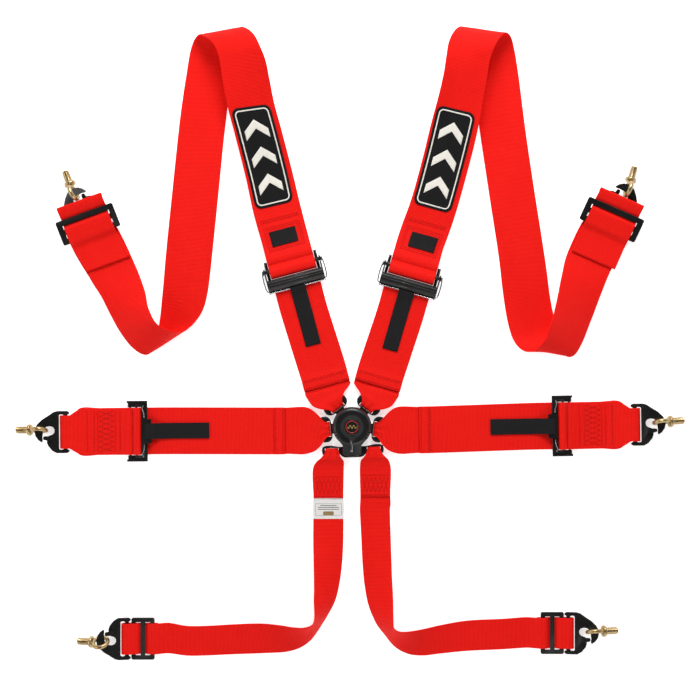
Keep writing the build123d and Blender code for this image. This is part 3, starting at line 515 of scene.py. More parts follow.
def box_stitch(s0, s1, half):
    """A closed rectangle of (s, y) points."""
    return [(s0, -half), (s1, -half), (s1, half), (s0, half), (s0, -half)]


def cross_rows(bm, ribbon, lengths, half, lift):
    """Plain rows of stitches straight across the strap."""
    for s in lengths:
        stitch_path(bm, ribbon, [(s, -half), (s, half)], lift)


def double_zigzag(bm, ribbon, s0, s1, half, teeth, lift):
    """Two zigzag rows over each other."""
    for first, second in ((s0, s1), (s1, s0)):
        stitch_path(bm, ribbon, zigzag(first, second, half, teeth), lift)


def cover_rows(bm, ribbon, first, second):
    """A zigzag and a plain row at the end of the ply sewn over a tongue's loop."""
    half = WIDE - SEAM_MARGIN
    stitch_path(bm, ribbon, zigzag(first, second, half, ZIGZAG_TEETH), TOP)
    cross_rows(bm, ribbon, [SEAM_MARGIN], half, TOP)


# ---- flat pieces sewn on the straps ----
def sewn_vert(bm, places, ribbon, s, y, lift):
    """A vertex on a ribbon at s along and y mm from its middle."""
    vert = bm.verts.new(ribbon.at(s, y / ribbon.half(s), lift))
    places[vert] = (y, s)
    return vert


def slab(bm, places, ribbon, middle, size, corner, base, height):
    """A thin plate with rounded corners that follows the strap; size is (along, across)."""
    s_mid, y_mid = middle
    half_long, half_wide = size[0] / 2, size[1] / 2
    straight = size[0] - 2 * corner
    bends = [k * math.pi / 12 for k in range(7)]
    ends = [(corner * (1 - math.cos(a)), half_wide - corner + corner * math.sin(a)) for a in bends]
    inner = max(2, round(straight / 4))
    stations = [(-half_long + a, w) for a, w in ends]
    stations += [(-half_long + corner + straight * k / inner, half_wide) for k in range(1, inner)]
    stations += [(half_long - a, w) for a, w in reversed(ends)]
    section = [(-1.0, 0.0), (-1.0, 0.75), (-0.985, 1.0)]
    section += [(-0.8 + 0.2 * k, 1.0) for k in range(9)]
    section += [(0.985, 1.0), (1.0, 0.75), (1.0, 0.0)]
    rings = []
    for index, (a, w) in enumerate(stations):
        highest = 0.75 if index in (0, len(stations) - 1) else 1
        ring = []
        for t, rise in section:
            lift = base + min(rise, highest) * height
            ring.append(sewn_vert(bm, places, ribbon, s_mid + a, y_mid + t * w, lift))
        rings.append(ring)
    skin(bm, rings)


def outline(size, corner):
    """Points and inward directions round a rectangle with rounded corners, in (along, across)."""
    half_long, half_wide = size[0] / 2 - corner, size[1] / 2 - corner
    signs = ((1, 1), (-1, 1), (-1, -1), (1, -1))
    found = []
    for quarter, (sa, sb) in enumerate(signs):
        for k in range(7):
            turn = math.pi / 2 * (quarter + k / 6)
            da, db = math.cos(turn), math.sin(turn)
            found.append((sa * half_long + corner * da, sb * half_wide + corner * db, -da, -db))
        a0, b0 = found[-1][:2]
        next_sa, next_sb = signs[(quarter + 1) % 4]
        a1 = next_sa * half_long + corner * da
        b1 = next_sb * half_wide + corner * db
        pieces = max(1, round(math.hypot(a1 - a0, b1 - b0) / 5))
        for k in range(1, pieces):
            t = k / pieces
            found.append((a0 + (a1 - a0) * t, b0 + (b1 - b0) * t, -da, -db))
    return found


def border(bm, places, ribbon, middle, size, corner, band, base, height):
    """A raised band round a rectangle with rounded corners."""
    s_mid, y_mid = middle
    rings = []
    for a, b, na, nb in outline(size, corner):
        ring = []
        for share, rise in ((0, 0), (0.1, 0.8), (0.3, 1), (0.7, 1), (0.9, 0.8), (1, 0)):
            s = s_mid + a + na * band * share
            y = y_mid + b + nb * band * share
            ring.append(sewn_vert(bm, places, ribbon, s, y, base + rise * height))
        rings.append(ring)
    tube(bm, rings + rings[:1])


def chevron(bm, places, ribbon, middle, base):
    """A raised V stroke."""
    s_mid, y_mid = middle
    rise, half = CHEVRON_SIZE
    section = ((0, 0), (0.04, 0.8), (0.12, 1), (0.5, 1), (0.88, 1), (0.96, 0.8), (1, 0))
    rings = []
    for k in range(CHEVRON_STEPS + 1):
        y = y_mid - half + 2 * half * k / CHEVRON_STEPS
        begin = s_mid + rise * (1 - abs(y - y_mid) / half) - (rise + CHEVRON_STROKE) / 2
        ring = []
        for share, rise_share in section:
            s = begin + CHEVRON_STROKE * share
            ring.append(sewn_vert(bm, places, ribbon, s, y, base + rise_share * MARK_HEIGHT))
        rings.append(ring)
    skin(bm, rings)


def full_turn(count):
    """Angles once round a circle."""
    return [2 * math.pi * k / count for k in range(count)]


def rod(bm, points, radius, around=12):
    """A round bar through points in mm, with closed ends."""
    points = [Vector(p) for p in points]
    rings = []
    for index, point in enumerate(points):
        along = points[min(index + 1, len(points) - 1)] - points[max(index - 1, 0)]
        along.normalize()
        side = along.orthogonal().normalized() if index == 0 else side
        side = (side - along * side.dot(along)).normalized()
        up = along.cross(side)
        rings.append([
            bm.verts.new(point + (side * math.cos(a) + up * math.sin(a)) * radius)
            for a in full_turn(around)
        ])
    skin(bm, rings)


# ---- node helpers ----
class Nodes:
    """Short-hand for building one material's node tree."""

    def __init__(self, name):
        self.material = bpy.data.materials.new(name)
        self.material.use_nodes = True
        self.tree = self.material.node_tree
        self.shader = self.tree.nodes["Principled BSDF"]

    def new(self, kind, **values):
        node = self.tree.nodes.new(kind)
        for key, value in values.items():
            if hasattr(node, key):
                setattr(node, key, value)
            else:
                node.inputs[key.replace("_", " ")].default_value = value
        return node

    def join(self, source, target):
        self.tree.links.new(source, target)

    def math(self, operation, a, b=None, clamp=False):
        node = self.new("ShaderNodeMath", operation=operation, use_clamp=clamp)
        for socket, value in zip(node.inputs, (a, b)):
            if value is None:
                continue
            if isinstance(value, (int, float)):
                socket.default_value = value
            else:
                self.join(value, socket)
        return node.outputs[0]

    def ramp(self, factor, stops):
        node = self.new("ShaderNodeValToRGB")
        elements = node.color_ramp.elements
        while len(elements) < len(stops):
            elements.new(0.5)
        for element, (position, colour) in zip(elements, stops):
            element.position = position
            element.color = (*colour, 1)
        self.join(factor, node.inputs[0])
        return node.outputs[0]

    def noise(self, vector, scale, detail=3.0, rough=0.5):
        node = self.new("ShaderNodeTexNoise")
        node.inputs["Scale"].default_value = scale
        node.inputs["Detail"].default_value = detail
        node.inputs["Roughness"].default_value = rough
        if vector is not None:
            self.join(vector, node.inputs["Vector"])
        return node.outputs["Fac"]

    def mix(self, factor, a, b, blend="MIX"):
        node = self.new("ShaderNodeMix", data_type="RGBA", blend_type=blend)
        for socket, value in ((node.inputs[0], factor), (node.inputs[6], a), (node.inputs[7], b)):
            if isinstance(value, (int, float)):
                socket.default_value = value
            elif isinstance(value, tuple):
                socket.default_value = (*value, 1)
            else:
                self.join(value, socket)
        return node.outputs[2]

    def bump(self, height, strength, distance):
        node = self.new("ShaderNodeBump")
        node.inputs["Strength"].default_value = strength
        node.inputs["Distance"].default_value = distance
        self.join(height, node.inputs["Height"])
        self.join(node.outputs["Normal"], self.shader.inputs["Normal"])

    def set(self, **values):
        for key, value in values.items():
            self.shader.inputs[key.replace("_", " ")].default_value = value


def webbing_material(name, colour, dark, pale, rib=0.0021, column=0.0016, sheen=0.02):
    """Woven webbing: cross ribs broken by warp columns and soft colour drift."""
    n = Nodes(name)
    uv = n.new("ShaderNodeUVMap", uv_map="weave").outputs["UV"]
    split = n.new("ShaderNodeSeparateXYZ")
    n.join(uv, split.inputs[0])
    x, y = split.outputs[0], split.outputs[1]
    columns = n.math("MULTIPLY", x, 2 * math.pi / column)
    wave_x = n.math("SINE", columns)
    ribs = n.math("MULTIPLY", y, 2 * math.pi / rib)
    wave_y = n.math("SINE", n.math("ADD", ribs, n.math("MULTIPLY", wave_x, 0.9)))
    height = n.math("ADD", n.math("MULTIPLY", wave_y, 0.5), 0.5)
    threads = n.math("ADD", n.math("MULTIPLY", wave_x, 0.18), n.math("MULTIPLY", height, 0.82))
    stretched = n.new("ShaderNodeMapping")
    stretched.inputs["Scale"].default_value = (900, 60, 1)
    n.join(uv, stretched.inputs["Vector"])
    fibre = n.noise(stretched.outputs[0], 1.0, 2.0)
    drift_map = n.new("ShaderNodeMapping")
    drift_map.inputs["Scale"].default_value = (30, 9, 1)
    n.join(uv, drift_map.inputs["Vector"])
    drift = n.noise(drift_map.outputs[0], 1.0, 3.0)
    relief = n.math("ADD", threads, n.math("MULTIPLY", fibre, 0.5))
    # Painted shade and highlight: the ramp darkens the weave's hollows and lightens the thread tops. The
    # fibre streaks and drift below are the webbing's own tone.
    tone = n.ramp(threads, [(0.0, dark), (0.38, colour), (1.0, pale)])
    tone = n.mix(n.math("MULTIPLY", fibre, 0.35), tone, dark)
    tone = n.mix(n.math("MULTIPLY", drift, 0.22), tone, pale)
    n.join(tone, n.shader.inputs["Base Color"])
    rough = n.math("ADD", n.math("MULTIPLY", fibre, 0.16), 0.55)
    n.join(rough, n.shader.inputs["Roughness"])
    n.bump(relief, 0.45, 0.0004)
    n.set(Specular_IOR_Level=0.06, Sheen_Weight=sheen, Sheen_Roughness=0.4)
    n.shader.inputs["Sheen Tint"].default_value = (*pale, 1)
    return n.material


def metal_material(name, colour, edge, rough, metallic=1.0, coat=0.0, grain=260.0, wear=0.5,
                   relief=0.00006):
    """Coated or bare metal: fine grain, cloudy gloss and worn, brighter edges."""
    n = Nodes(name)
    place = n.new("ShaderNodeTexCoord").outputs["Object"]
    cloud = n.noise(place, 40.0, 4.0, 0.6)
    speckle = n.noise(place, grain, 3.0, 0.6)
    fine = n.noise(place, grain * 7, 2.0)
    geometry = n.new("ShaderNodeNewGeometry")
    sharp = n.ramp(geometry.outputs["Pointiness"], [(0.52, (0, 0, 0)), (0.62, (1, 1, 1))])
    rubbed = n.math("MULTIPLY", sharp, n.math("MULTIPLY", cloud, 2 * wear), clamp=True)
    paler = tuple(min(1, c * 1.5 + 0.004) for c in colour)
    base = n.mix(n.math("MULTIPLY", speckle, 0.35), colour, paler)
    tone = n.mix(rubbed, base, edge)
    n.join(tone, n.shader.inputs["Base Color"])
    gloss = n.math("ADD", n.math("MULTIPLY", n.math("SUBTRACT", cloud, 0.5), 0.25), rough)
    gloss = n.math("ADD", gloss, n.math("MULTIPLY", speckle, 0.08), clamp=True)
    n.join(gloss, n.shader.inputs["Roughness"])
    n.bump(n.math("ADD", speckle, n.math("MULTIPLY", fine, 0.4)), 0.5, relief)
    n.set(Metallic=metallic, Coat_Weight=coat, Coat_Roughness=0.14, Specular_IOR_Level=0.35)
    return n.material


def zinc_material(name):
    """Yellow passivated zinc: gold with faint rainbow clouds over a forged surface."""
    n = Nodes(name)
    place = n.new("ShaderNodeTexCoord").outputs["Object"]
    cloud = n.noise(place, 55.0, 3.0, 0.55)
    hue = n.noise(place, 95.0, 2.0, 0.5)
    tone = n.ramp(cloud, [
        (0.25, (0.22, 0.14, 0.045)), (0.45, (0.38, 0.28, 0.11)), (0.6, (0.46, 0.37, 0.19)),
        (0.8, (0.56, 0.50, 0.36)),
    ])
    tint = n.ramp(hue, [
        (0.35, (0.42, 0.33, 0.14)), (0.55, (0.50, 0.24, 0.20)), (0.7, (0.26, 0.36, 0.20)),
    ])
    n.join(n.mix(0.28, tone, tint), n.shader.inputs["Base Color"])
    pits = n.noise(place, 420.0, 4.0, 0.65)
    n.join(n.math("ADD", n.math("MULTIPLY", pits, 0.22), 0.22), n.shader.inputs["Roughness"])
    n.bump(pits, 0.5, 0.00012)
    n.set(Metallic=1.0)
    return n.material


RED = webbing_material("red_webbing", (0.79, 0.0085, 0.0055), (0.47, 0.002, 0.002),
                       (0.93, 0.018, 0.011), sheen=0.03)
RED_THREAD = webbing_material("red_thread", (0.40, 0.004, 0.004), (0.20, 0.001, 0.001),
                              (0.62, 0.012, 0.008), 0.0008, 0.0006)
BLACK_WEB = webbing_material("black_webbing", (0.010, 0.010, 0.011), (0.003, 0.003, 0.003),
                             (0.026, 0.026, 0.028), 0.0016, 0.0013)
PATCH_BLACK = webbing_material("patch_black", (0.008, 0.008, 0.009), (0.003, 0.003, 0.003),
                               (0.018, 0.018, 0.019), 0.0007, 0.0007)
CREAM_THREAD = webbing_material("cream_thread", (0.78, 0.75, 0.68), (0.55, 0.52, 0.45),
                                (0.90, 0.88, 0.82), 0.0007, 0.0009)
LABEL_WHITE = webbing_material("label_white", (0.76, 0.74, 0.72), (0.62, 0.60, 0.58),
                               (0.86, 0.85, 0.83), 0.0006, 0.0006)
LABEL_GREY = webbing_material("label_grey", (0.16, 0.15, 0.15), (0.09, 0.09, 0.09),
                              (0.24, 0.23, 0.22), 0.0006, 0.0006)
LABEL_GOLD = webbing_material("label_gold", (0.27, 0.19, 0.08), (0.16, 0.11, 0.05),
                              (0.40, 0.30, 0.14), 0.0006, 0.0006)
BLACK_STEEL = metal_material("black_steel", (0.0045, 0.0042, 0.004), (0.10, 0.10, 0.10), 0.30,
                             metallic=0.0, coat=0.1, wear=0.2)
BUCKLE_BLACK = metal_material("buckle_black", (0.0045, 0.0045, 0.0045), (0.09, 0.09, 0.09), 0.34,
                              metallic=0.0, coat=0.2, grain=420.0, wear=0.2, relief=0.00003)
BRIGHT_STEEL = metal_material("bright_steel", (0.40, 0.40, 0.41), (0.72, 0.72, 0.73), 0.2)
WORN_STEEL = metal_material("worn_steel", (0.10, 0.10, 0.105), (0.55, 0.55, 0.56), 0.32,
                            metallic=0.7, wear=0.9)
TONGUE_STEEL = metal_material("tongue_steel", (0.010, 0.0095, 0.009), (0.40, 0.40, 0.41), 0.28,
                              metallic=0.3, wear=0.3)
WIRE_STEEL = metal_material("wire_steel", (0.24, 0.24, 0.245), (0.55, 0.55, 0.56), 0.2)
MARK_GOLD = metal_material("mark_gold", (0.62, 0.42, 0.09), (0.85, 0.66, 0.30), 0.35)
MARK_RED = metal_material("mark_red", (0.45, 0.006, 0.008), (0.60, 0.05, 0.04), 0.3, metallic=0.0,
                          coat=0.3)
ZINC = zinc_material("yellow_zinc")

FINISH = {
    "black_steel": BLACK_STEEL, "buckle_black": BUCKLE_BLACK, "bright_steel": BRIGHT_STEEL,
    "tongue_steel": TONGUE_STEEL, "badge_silver": BUCKLE_BLACK,
}


# ---- CAD metal pieces: their own finish and rounded edges ----
def finish_metal():
    """Every CAD metal node gets its finish and small rounded edges."""
    slots = {row["node"]: row["material_slot"] for row in frame["record"]["subparts"]}
    for node, piece in NODES.items():
        material = FINISH.get(slots[node])
        if node == "left_shoulder_hook":
            material = WORN_STEEL
        if material is None:
            continue
        piece.data.materials.clear()
        piece.data.materials.append(material)
        weld = piece.modifiers.new("weld", "WELD")
        weld.merge_threshold = WELD_GAP
        bevel = piece.modifiers.new("bevel", "BEVEL")
        bevel.width = CAP_BEVEL if node == "release_cap" else EDGE_BEVEL
        bevel.segments = 2
        bevel.limit_method = "ANGLE"
        bevel.angle_limit = math.radians(EDGE_ANGLE)
        flat = piece.modifiers.new("flat_faces", "WEIGHTED_NORMAL")
        flat.weight = 80
        flat.keep_sharp = True
        piece.data.shade_smooth()


finish_metal()


# ---- straps ----
def put(piece, body, slot, *nodes):
    """Ride a piece on its body and hide the CAD nodes it stands for. The slot argument is not used."""
    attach(piece, body)
    if nodes:
        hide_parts(*nodes)
    return piece


def strap_piece(name, ribbon, body, node):
    """The red webbing along a ribbon, standing for a CAD strap."""
    return put(ribbon_mesh(name, ribbon, RED), body, "red_webbing", node)


def locate(ribbon, target, low=0.0, high=None):
    """(s, y) in mm of the place on a ribbon nearest a world point."""
    s = ribbon.nearest(target, low, high)
    across = ribbon.across[ribbon.index(s)[0]].normalized()
    return s, (Vector(target[:2]) - ribbon.at(s, 0).xy).dot(across.xy)


def sewn(name, body, slot, material, build):
    """An object whose mesh is filled by build(bm, places), riding on a body."""
    bm = bmesh.new()
    places = {}
    build(bm, places)
    weave_layer(bm, places)
    return put(mesh_object(name, bm, material), body, slot)


def threads(name, body, build):
    """A stitching object filled by build(bm), riding on a body."""
    bm = bmesh.new()
    build(bm)
    return put(mesh_object(name, bm, RED_THREAD), body, "red_webbing")


def patch(branch, ribbon, target):
    """The sewn patch: black field, raised cream border, three plain chevrons."""
    middle = locate(ribbon, target, *PATCH_REACH)
    s_mid, y_mid = middle
    field = sewn(branch + "_patch", branch, "black_webbing", PATCH_BLACK, lambda bm, places: slab(
        bm, places, ribbon, middle, PATCH_SIZE, PATCH_CORNER, TOP, PATCH_HEIGHT))

    def print_marks(bm, places):
        base = TOP + PATCH_HEIGHT - SINK
        size = [side - 2 * BORDER_INSET for side in PATCH_SIZE]
        border(bm, places, ribbon, middle, size, BORDER_CORNER, BORDER_BAND, base, MARK_HEIGHT)
        for k in (-1, 0, 1):
            chevron(bm, places, ribbon, (s_mid + CHEVRON_PITCH * k, y_mid), base)

    marks = sewn(branch + "_patch_marks", branch, "white_label", CREAM_THREAD, print_marks)
    return [field, marks]


def keeper(branch, ribbon, target):
    """The black tab across the strap, with the rows that sew the folded ends round it."""
    s_mid, y_mid = locate(ribbon, target, *KEEPER_REACH)
    tab = sewn(branch + "_keeper", branch, "black_webbing", BLACK_WEB, lambda bm, places: slab(
        bm, places, ribbon, (s_mid, y_mid), KEEPER_SIZE, 0.8, TOP, KEEPER_HEIGHT))

    def rows_round(bm):
        stitch_path(bm, ribbon, box_stitch(s_mid - 19, s_mid + 20, 29), TOP)
        stitch_path(bm, ribbon, box_stitch(s_mid - 16, s_mid + 17, 26), TOP)
        stitch_path(bm, ribbon, zigzag(s_mid + 27, s_mid + 34, 31, 30), TOP)

    return [tab, threads(branch + "_keeper_stitching", branch, rows_round)]


def shoulder(side, run, ripple, patch_at, keeper_at, tail_shift):
    """Lower and upper shoulder straps with everything sewn on them."""
    branch = side + "_shoulder"
    at, azimuth = ADJUSTERS[branch]
    angle = TONGUE_ANGLES[branch]
    bar = spot((0, 0), angle, TONGUE_BAR, 0, 0)
    loop, cover = tongue_end(bar, angle, azimuth, 38, TONGUE_WAIST, WIDE, 33)
    lower = Ribbon(cover + rows(at, azimuth, LOWER_END) + loop[::-1])
    lower_piece = strap_piece(branch + "_lower_webbing", lower, branch, branch + "_lower_strap")
    sewing = threads(branch + "_lower_stitching", branch, lambda bm: cover_rows(bm, lower, 12, 17))

    hook_at, hook_azimuth = HOOKS[branch][:2]
    far = rows(hook_at, hook_azimuth, SHOULDER_END)
    for index, share in ((-2, 0.3), (-1, 1.0)):
        sideways = spot((0, 0), hook_azimuth, 0, tail_shift * share, 0)
        far[index] = tuple(point + sideways for point in far[index])
    upper = Ribbon(rows(at, azimuth, ROLLER_END) + edge_pairs(run) + far, ripple=ripple)
    upper_piece = strap_piece(branch + "_upper_webbing", upper, branch, branch + "_upper_strap")
    pieces = patch(branch, upper, patch_at) + keeper(branch, upper, keeper_at)


def laps(side):
    """The lap strap and its anchor strap, with their stitching."""
    branch = side + "_lap"
    at, azimuth = ADJUSTERS[branch]
    angle = TONGUE_ANGLES[branch]
    bar = spot((0, 0), angle, TONGUE_BAR, 0, 0)
    loop, cover = tongue_end(bar, angle, azimuth, 69, TONGUE_WAIST, WIDE, 36)
    loop = Ribbon(loop)
    lap = Ribbon(cover + rows(at, azimuth, LAP_ROLL))
    loop_piece = strap_piece(branch + "_tongue_loop", loop, branch, branch + "_strap")
    lap_piece = strap_piece(branch + "_webbing", lap, branch, branch + "_strap")
    sewing = threads(branch + "_stitching", branch, lambda bm: cover_rows(bm, lap, 13, 19))

    anchor = Ribbon(rows(at, azimuth, lap_anchor(math.dist(HOOKS[branch][0], at))))
    anchor_piece = strap_piece(branch + "_anchor_webbing", anchor, branch, branch + "_anchor_strap")
    begin = anchor.nearest(spot(at, azimuth, 36, 0, 0), 70, anchor.length / 2)

    def anchor_rows(bm):
        half = WIDE - 5
        double_zigzag(bm, anchor, begin, begin + 24, half, 8, TOP)
        cross_rows(bm, anchor, [begin + gap for gap in (-10, -2, 26, 32, 43)], half, TOP)

    sewing = threads(branch + "_anchor_stitching", branch, anchor_rows)


def label(ribbon, target):
    """The white care label: a frame line, grey bars and a plain block, with no lettering."""
    s_mid = ribbon.nearest(target, *LABEL_REACH)
    lift = TOP + LABEL_HEIGHT - SINK
    plate = sewn("left_crotch_label", "crotch", "white_label", LABEL_WHITE, lambda bm, places: slab(
        bm, places, ribbon, (s_mid, 0), LABEL_SIZE, 0.6, TOP, LABEL_HEIGHT))

    def grey(bm, places):
        border(bm, places, ribbon, (s_mid + 2, 0), (19, 42), 0.8, 0.45, lift, 0.25)
        for k, wide in enumerate((26, 34, 34)):
            slab(bm, places, ribbon, (s_mid - 4.5 + 3.1 * k, 0), (1.1, wide), 0.3, lift, 0.25)

    print_bars = sewn("left_crotch_label_bars", "crotch", "white_label", LABEL_GREY, grey)
    block = sewn("left_crotch_label_block", "crotch", "white_label", LABEL_GOLD, lambda bm, places: slab(
        bm, places, ribbon, (s_mid + 8.2, 0), (6.5, 17), 2, lift, 0.4))
    return [plate, print_bars, block]


def crotch(side, sign, run, drift):
    """A crotch strap with its sewn end, and the label on the left one."""
    branch = side + "_crotch"
    bar = spot((0, 0), YOKE_TURN, sign * YOKE_SLOT_OFFSET, -YOKE_BAR, 0)
    loop = tongue_end(bar, 270 + YOKE_TURN, 270, 76, YOKE_WAIST, NARROW, 28, drift)[0]
    far = rows(*HOOKS[branch][:2], CROTCH_END)
    strap = Ribbon(loop + edge_pairs(run) + far, ripple=5.0 + sign)
    piece = strap_piece(branch + "_webbing", strap, "crotch", branch + "_strap")

    def flap_rows(bm):
        half = NARROW - 4
        double_zigzag(bm, strap, 7, 31, half, 6, -TOP)
        cross_rows(bm, strap, (3, 34), half, -TOP)

    pieces = [threads(branch + "_stitching", "crotch", flap_rows)]
    pieces += label(strap, LABEL_PLACE) if side == "left" else []


shoulder("left", LEFT_SHOULDER_RUN, 3.0, (-141, 429), (-109, 303), -8)
shoulder("right", RIGHT_SHOULDER_RUN, 8.0, (147.6, 424.4), (113, 293.8), 0)
laps("left")
laps("right")
crotch("left", -1, LEFT_CROTCH_RUN, -6)
crotch("right", 1, RIGHT_CROTCH_RUN, 2)


# ---- pull tabs ----
def pull_tab(branch, path):
    """Narrow black webbing pulled to free an adjuster."""
    at, azimuth = ADJUSTERS[branch]
    ribbon = Ribbon(rows(at, azimuth, [(x, z, TAB_HALF) for x, z in path])[::-1])
    piece = ribbon_mesh(branch + "_tab_webbing", ribbon, BLACK_WEB, TAB_THICKNESS)
    if "shoulder" in branch:
        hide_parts(branch + "_pull_tab")
        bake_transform(piece)
    else:
        put(piece, branch + "_grip_unit", "black_webbing", branch + "_pull_tab")


for branch_name in ADJUSTERS:
    pull_tab(branch_name, SHOULDER_TAB if "shoulder" in branch_name else LAP_TAB)


# ---- eye bolts ----
def bolt_matrix(branch):
    """Place of a branch's ring, in mm: origin at its centre, x along the shank, z the ring's axis."""
    at, azimuth, mouth, yaw, roll = HOOKS[branch]
    out, aside = RING_OFFSET
    centre = spot(at, azimuth, out, -mouth * aside, RING_HEIGHT)
    turn = math.radians(azimuth + yaw)
    drop = math.radians(SHANK_DROP)
    level = Vector((math.cos(turn), math.sin(turn), 0))
    along = level * math.cos(drop) - Vector((0, 0, math.sin(drop)))
    side = Vector((-math.sin(turn), math.cos(turn), 0))
    up = along.cross(side)
    tilt = math.radians(roll)
    axis = side * math.cos(tilt) + up * math.sin(tilt)
    third = axis.cross(along)
    matrix = Matrix((along, third, axis)).transposed().to_4x4()
    matrix.translation = centre
    return matrix


def ring_of(bm, x, radius):
    """A circle of vertices round the x axis."""
    return [
        bm.verts.new((x, radius * math.cos(a), radius * math.sin(a))) for a in full_turn(SHANK_STEPS)
    ]


def forge_ring(bm):
    """The bolt's ring, round the origin."""
    loops = []
    for a in full_turn(RING_STEPS):
        loop = []
        for b in full_turn(WIRE_STEPS):
            reach = RING_RADIUS + RING_WIRE * math.cos(b)
            place = (reach * math.cos(a), reach * math.sin(a), RING_WIRE * math.sin(b))
            loop.append(bm.verts.new(place))
        loops.append(loop)
    tube(bm, loops + loops[:1])


def forge_collar(bm):
    """The swelling neck and collar next to the ring."""
    rings = [ring_of(bm, x, radius) for x, radius in COLLAR]
    tube(bm, rings)
    bm.faces.new(rings[0])


def cut_thread(bm):
    """One helical thread along the shank, fading in and out over a turn."""
    around = SHANK_STEPS
    steps = int((SHANK_END - 1.6 - SHANK_START) / THREAD_PITCH * around)
    lines = []
    for step in range(steps + 1):
        a = 2 * math.pi * step / around
        start = SHANK_START - 0.4 + THREAD_PITCH * step / around
        fade = min(1, step / around, (steps - step) / around)
        line = []
        for t, depth in THREAD_LINE:
            radius = THREAD_RADIUS - depth * (0.35 + 0.65 * fade)
            place = (start + t * THREAD_PITCH, radius * math.cos(a), radius * math.sin(a))
            line.append(bm.verts.new(place))
        lines.append(line)
    for step, (line, after) in enumerate(zip(lines, lines[1:])):
        for k in range(3):
            bm.faces.new((line[k], line[k + 1], after[k + 1], after[k]))
        if step + around < steps:
            turn_on = lines[step + around]
            turn_after = lines[step + around + 1]
            bm.faces.new((line[3], turn_on[0], turn_after[0], after[3]))


def turn_core(bm):
    """The shank inside the thread, with its chamfered tip."""
    rings = [ring_of(bm, x, radius) for x, radius in (
        (18.2, CORE_RADIUS), (SHANK_END - 2.2, CORE_RADIUS), (SHANK_END - 1.9, 5.2),
        (SHANK_END - 1.0, 5.0), (SHANK_END - 0.3, 4.3), (SHANK_END, 3.4),
    )]
    tube(bm, rings)
    bm.faces.new(rings[-1])


def eye_bolts():
    """One detailed eye bolt at each hook."""
    for branch in HOOKS:
        bm = bmesh.new()
        forge_ring(bm)
        forge_collar(bm)
        cut_thread(bm)
        turn_core(bm)
        bmesh.ops.transform(bm, matrix=bolt_matrix(branch), verts=bm.verts)
        piece = mesh_object(branch + "_eye_bolt_forging", bm, ZINC)
        put(piece, branch + "_eye_bolt", "yellow_zinc", branch + "_eye_bolt")


eye_bolts()


# ---- buckle badge and adjuster trim ----
def trim(bm, name, material, body, slot):
    """Finishes a hard trim piece and rides it on its body."""
    return put(mesh_object(name, bm, material), body, slot)


def bars(name, material, body, slot, paths, radius, around=12):
    """Round bars along paths, as one piece of trim."""
    bm = bmesh.new()
    for path in paths:
        rod(bm, path, radius, around)
    return trim(bm, name, material, body, slot)


def badge():
    """A small gold check pattern inside a red and a black ring, standing a little above the badge."""
    bm = bmesh.new()
    side = 2.8
    for column in range(-2, 3):
        row = column % 2 - 0.5
        centre = Vector((column * side, row * side, CAP_FACE))
        corners = [(-1, -1), (1, -1), (1, 1), (-1, 1)]
        skin(bm, [
            [bm.verts.new(centre + Vector((x * half, y * half, lift))) for x, y in corners]
            for half, lift in ((1.32, -0.2), (1.32, 0.3), (1.12, 0.5))
        ])
    checks = trim(bm, "badge_checks", MARK_GOLD, "cap", "badge_silver")
    checks.data.shade_flat()
    for name, radius, material in (
        ("badge_red_ring", 9.4, MARK_RED),
        ("badge_ring", 12.3, BUCKLE_BLACK),
    ):
        around = full_turn(64) + [2 * math.pi]
        circle = [(radius * math.cos(a), radius * math.sin(a), CAP_FACE) for a in around]
        bars(name, material, "cap", "badge_silver", [circle], 0.5, 8)


def lever_trim(branch):
    """The bright lip and the pressed ribs along a shoulder adjuster's lever."""
    at, azimuth = ADJUSTERS[branch]
    unit = branch + "_lever_unit"
    bend = [(-46.0, 1.6), (-43.0, 0.2), (-20.0, 0.0), (20.0, 0.0), (43.0, 0.2), (46.0, 1.6)]
    lip = [spot(at, azimuth, -34.6 + rise, y, 9.9) for y, rise in bend]
    bars(branch + "_lever_lip", BRIGHT_STEEL, unit, "bright_steel", [lip], 1.0)
    ribs = [
        [spot(at, azimuth, x, y, z) for y in (-44.5, 44.5)]
        for x, z in ((-16.2, 15.0), (-22.5, 15.9), (-29.0, 14.0))
    ]
    bars(branch + "_lever_ribs", BUCKLE_BLACK, unit, "black_steel", ribs, 0.9)


def lever_wires(branch):
    """The bent wires that spring the lever, outside its cheeks."""
    at, azimuth = ADJUSTERS[branch]
    corners = [(3.5, 46.9, 15.4), (1.0, 48.6, 15.0), (-6, 49.9, 13.8), (-17, 50.4, 11.9),
               (-27, 49.8, 11.0), (-30.6, 48.8, 11.3), (-31.8, 46.9, 12.0)]
    wires = [[spot(at, azimuth, x, sign * y, z) for x, y, z in corners] for sign in (-1, 1)]
    piece = bars(branch + "_bent_wires", WIRE_STEEL, branch + "_lever_unit", "bright_steel",
                 wires, 1.05)
    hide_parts(branch + "_wire_springs")


badge()
for shoulder_branch in ("left_shoulder", "right_shoulder"):
    lever_trim(shoulder_branch)
    lever_wires(shoulder_branch)


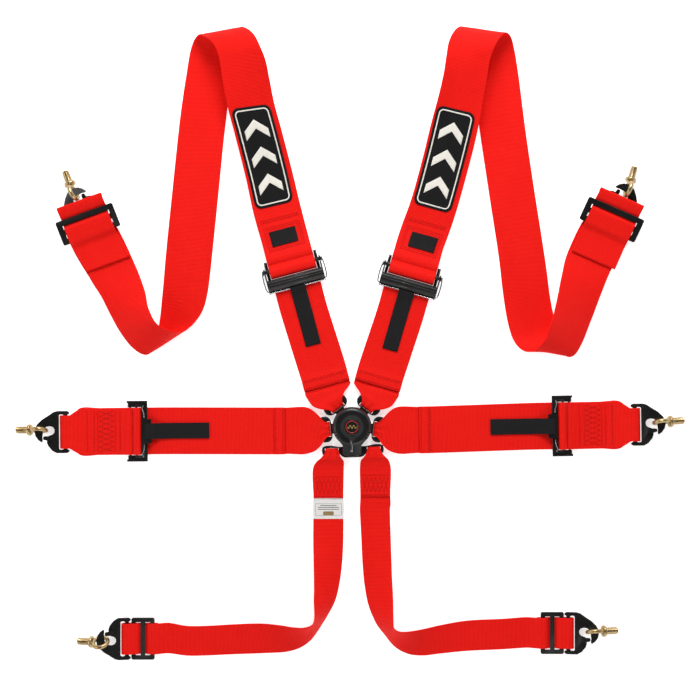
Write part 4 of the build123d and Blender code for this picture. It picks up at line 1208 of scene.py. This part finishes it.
# ---- stage ----
def floor():
    """A wide pale floor."""
    n = Nodes("floor_white")
    place = n.new("ShaderNodeTexCoord").outputs["Object"]
    grain = n.noise(place, 220.0, 2.0)
    n.join(n.ramp(grain, [(0.0, (0.90, 0.90, 0.90)), (1.0, (0.94, 0.94, 0.94))]),
           n.shader.inputs["Base Color"])
    n.set(Roughness=0.9, Specular_IOR_Level=0.1, Emission_Strength=0.6)
    n.shader.inputs["Emission Color"].default_value = (1, 1, 1, 1)
    mesh = bpy.data.meshes.new("floor")
    corners = [(-1, -1), (1, -1), (1, 1), (-1, 1)]
    points = [(x * FLOOR_HALF, y * FLOOR_HALF, FLOOR_LEVEL) for x, y in corners]
    mesh.from_pydata(points, [], [(0, 1, 2, 3)])
    mesh.materials.append(n.material)
    piece = bpy.data.objects.new("floor", mesh)
    bpy.context.scene.collection.objects.link(piece)


def light(name, place, target, size, power):
    """A square soft light aimed at a point."""
    lamp = bpy.data.lights.new(name, "AREA")
    lamp.size = size
    lamp.energy = power
    holder = bpy.data.objects.new(name, lamp)
    holder.location = place
    holder.rotation_euler = (Vector(target) - Vector(place)).to_track_quat("-Z", "Y").to_euler()
    bpy.context.scene.collection.objects.link(holder)


def camera():
    """A view straight down on the whole harness."""
    lens = bpy.data.cameras.new("camera")
    lens.lens = LENS
    lens.sensor_width = SENSOR
    holder = bpy.data.objects.new("camera", lens)
    holder.location = CAMERA_PLACE
    bpy.context.scene.collection.objects.link(holder)
    bpy.context.scene.camera = holder


def surround():
    """A white surround that darkens overhead, so black pieces stay black from above."""
    world = bpy.data.worlds.new("studio")
    world.use_nodes = True
    nodes = world.node_tree.nodes
    place = nodes.new("ShaderNodeTexCoord")
    split = nodes.new("ShaderNodeSeparateXYZ")
    ramp = nodes.new("ShaderNodeValToRGB")
    pale, dark = ramp.color_ramp.elements
    pale.position = 0.35
    pale.color = (1, 1, 1, 1)
    dark.position = 0.92
    dark.color = (0.05, 0.05, 0.05, 1)
    join = world.node_tree.links.new
    join(place.outputs["Generated"], split.inputs[0])
    join(split.outputs[2], ramp.inputs[0])
    join(ramp.outputs[0], nodes["Background"].inputs[0])
    nodes["Background"].inputs[1].default_value = 0.9
    bpy.context.scene.world = world


floor()
for values in LIGHTS:
    light(*values)
camera()
surround()
bpy.context.scene.view_settings.view_transform = "Standard"
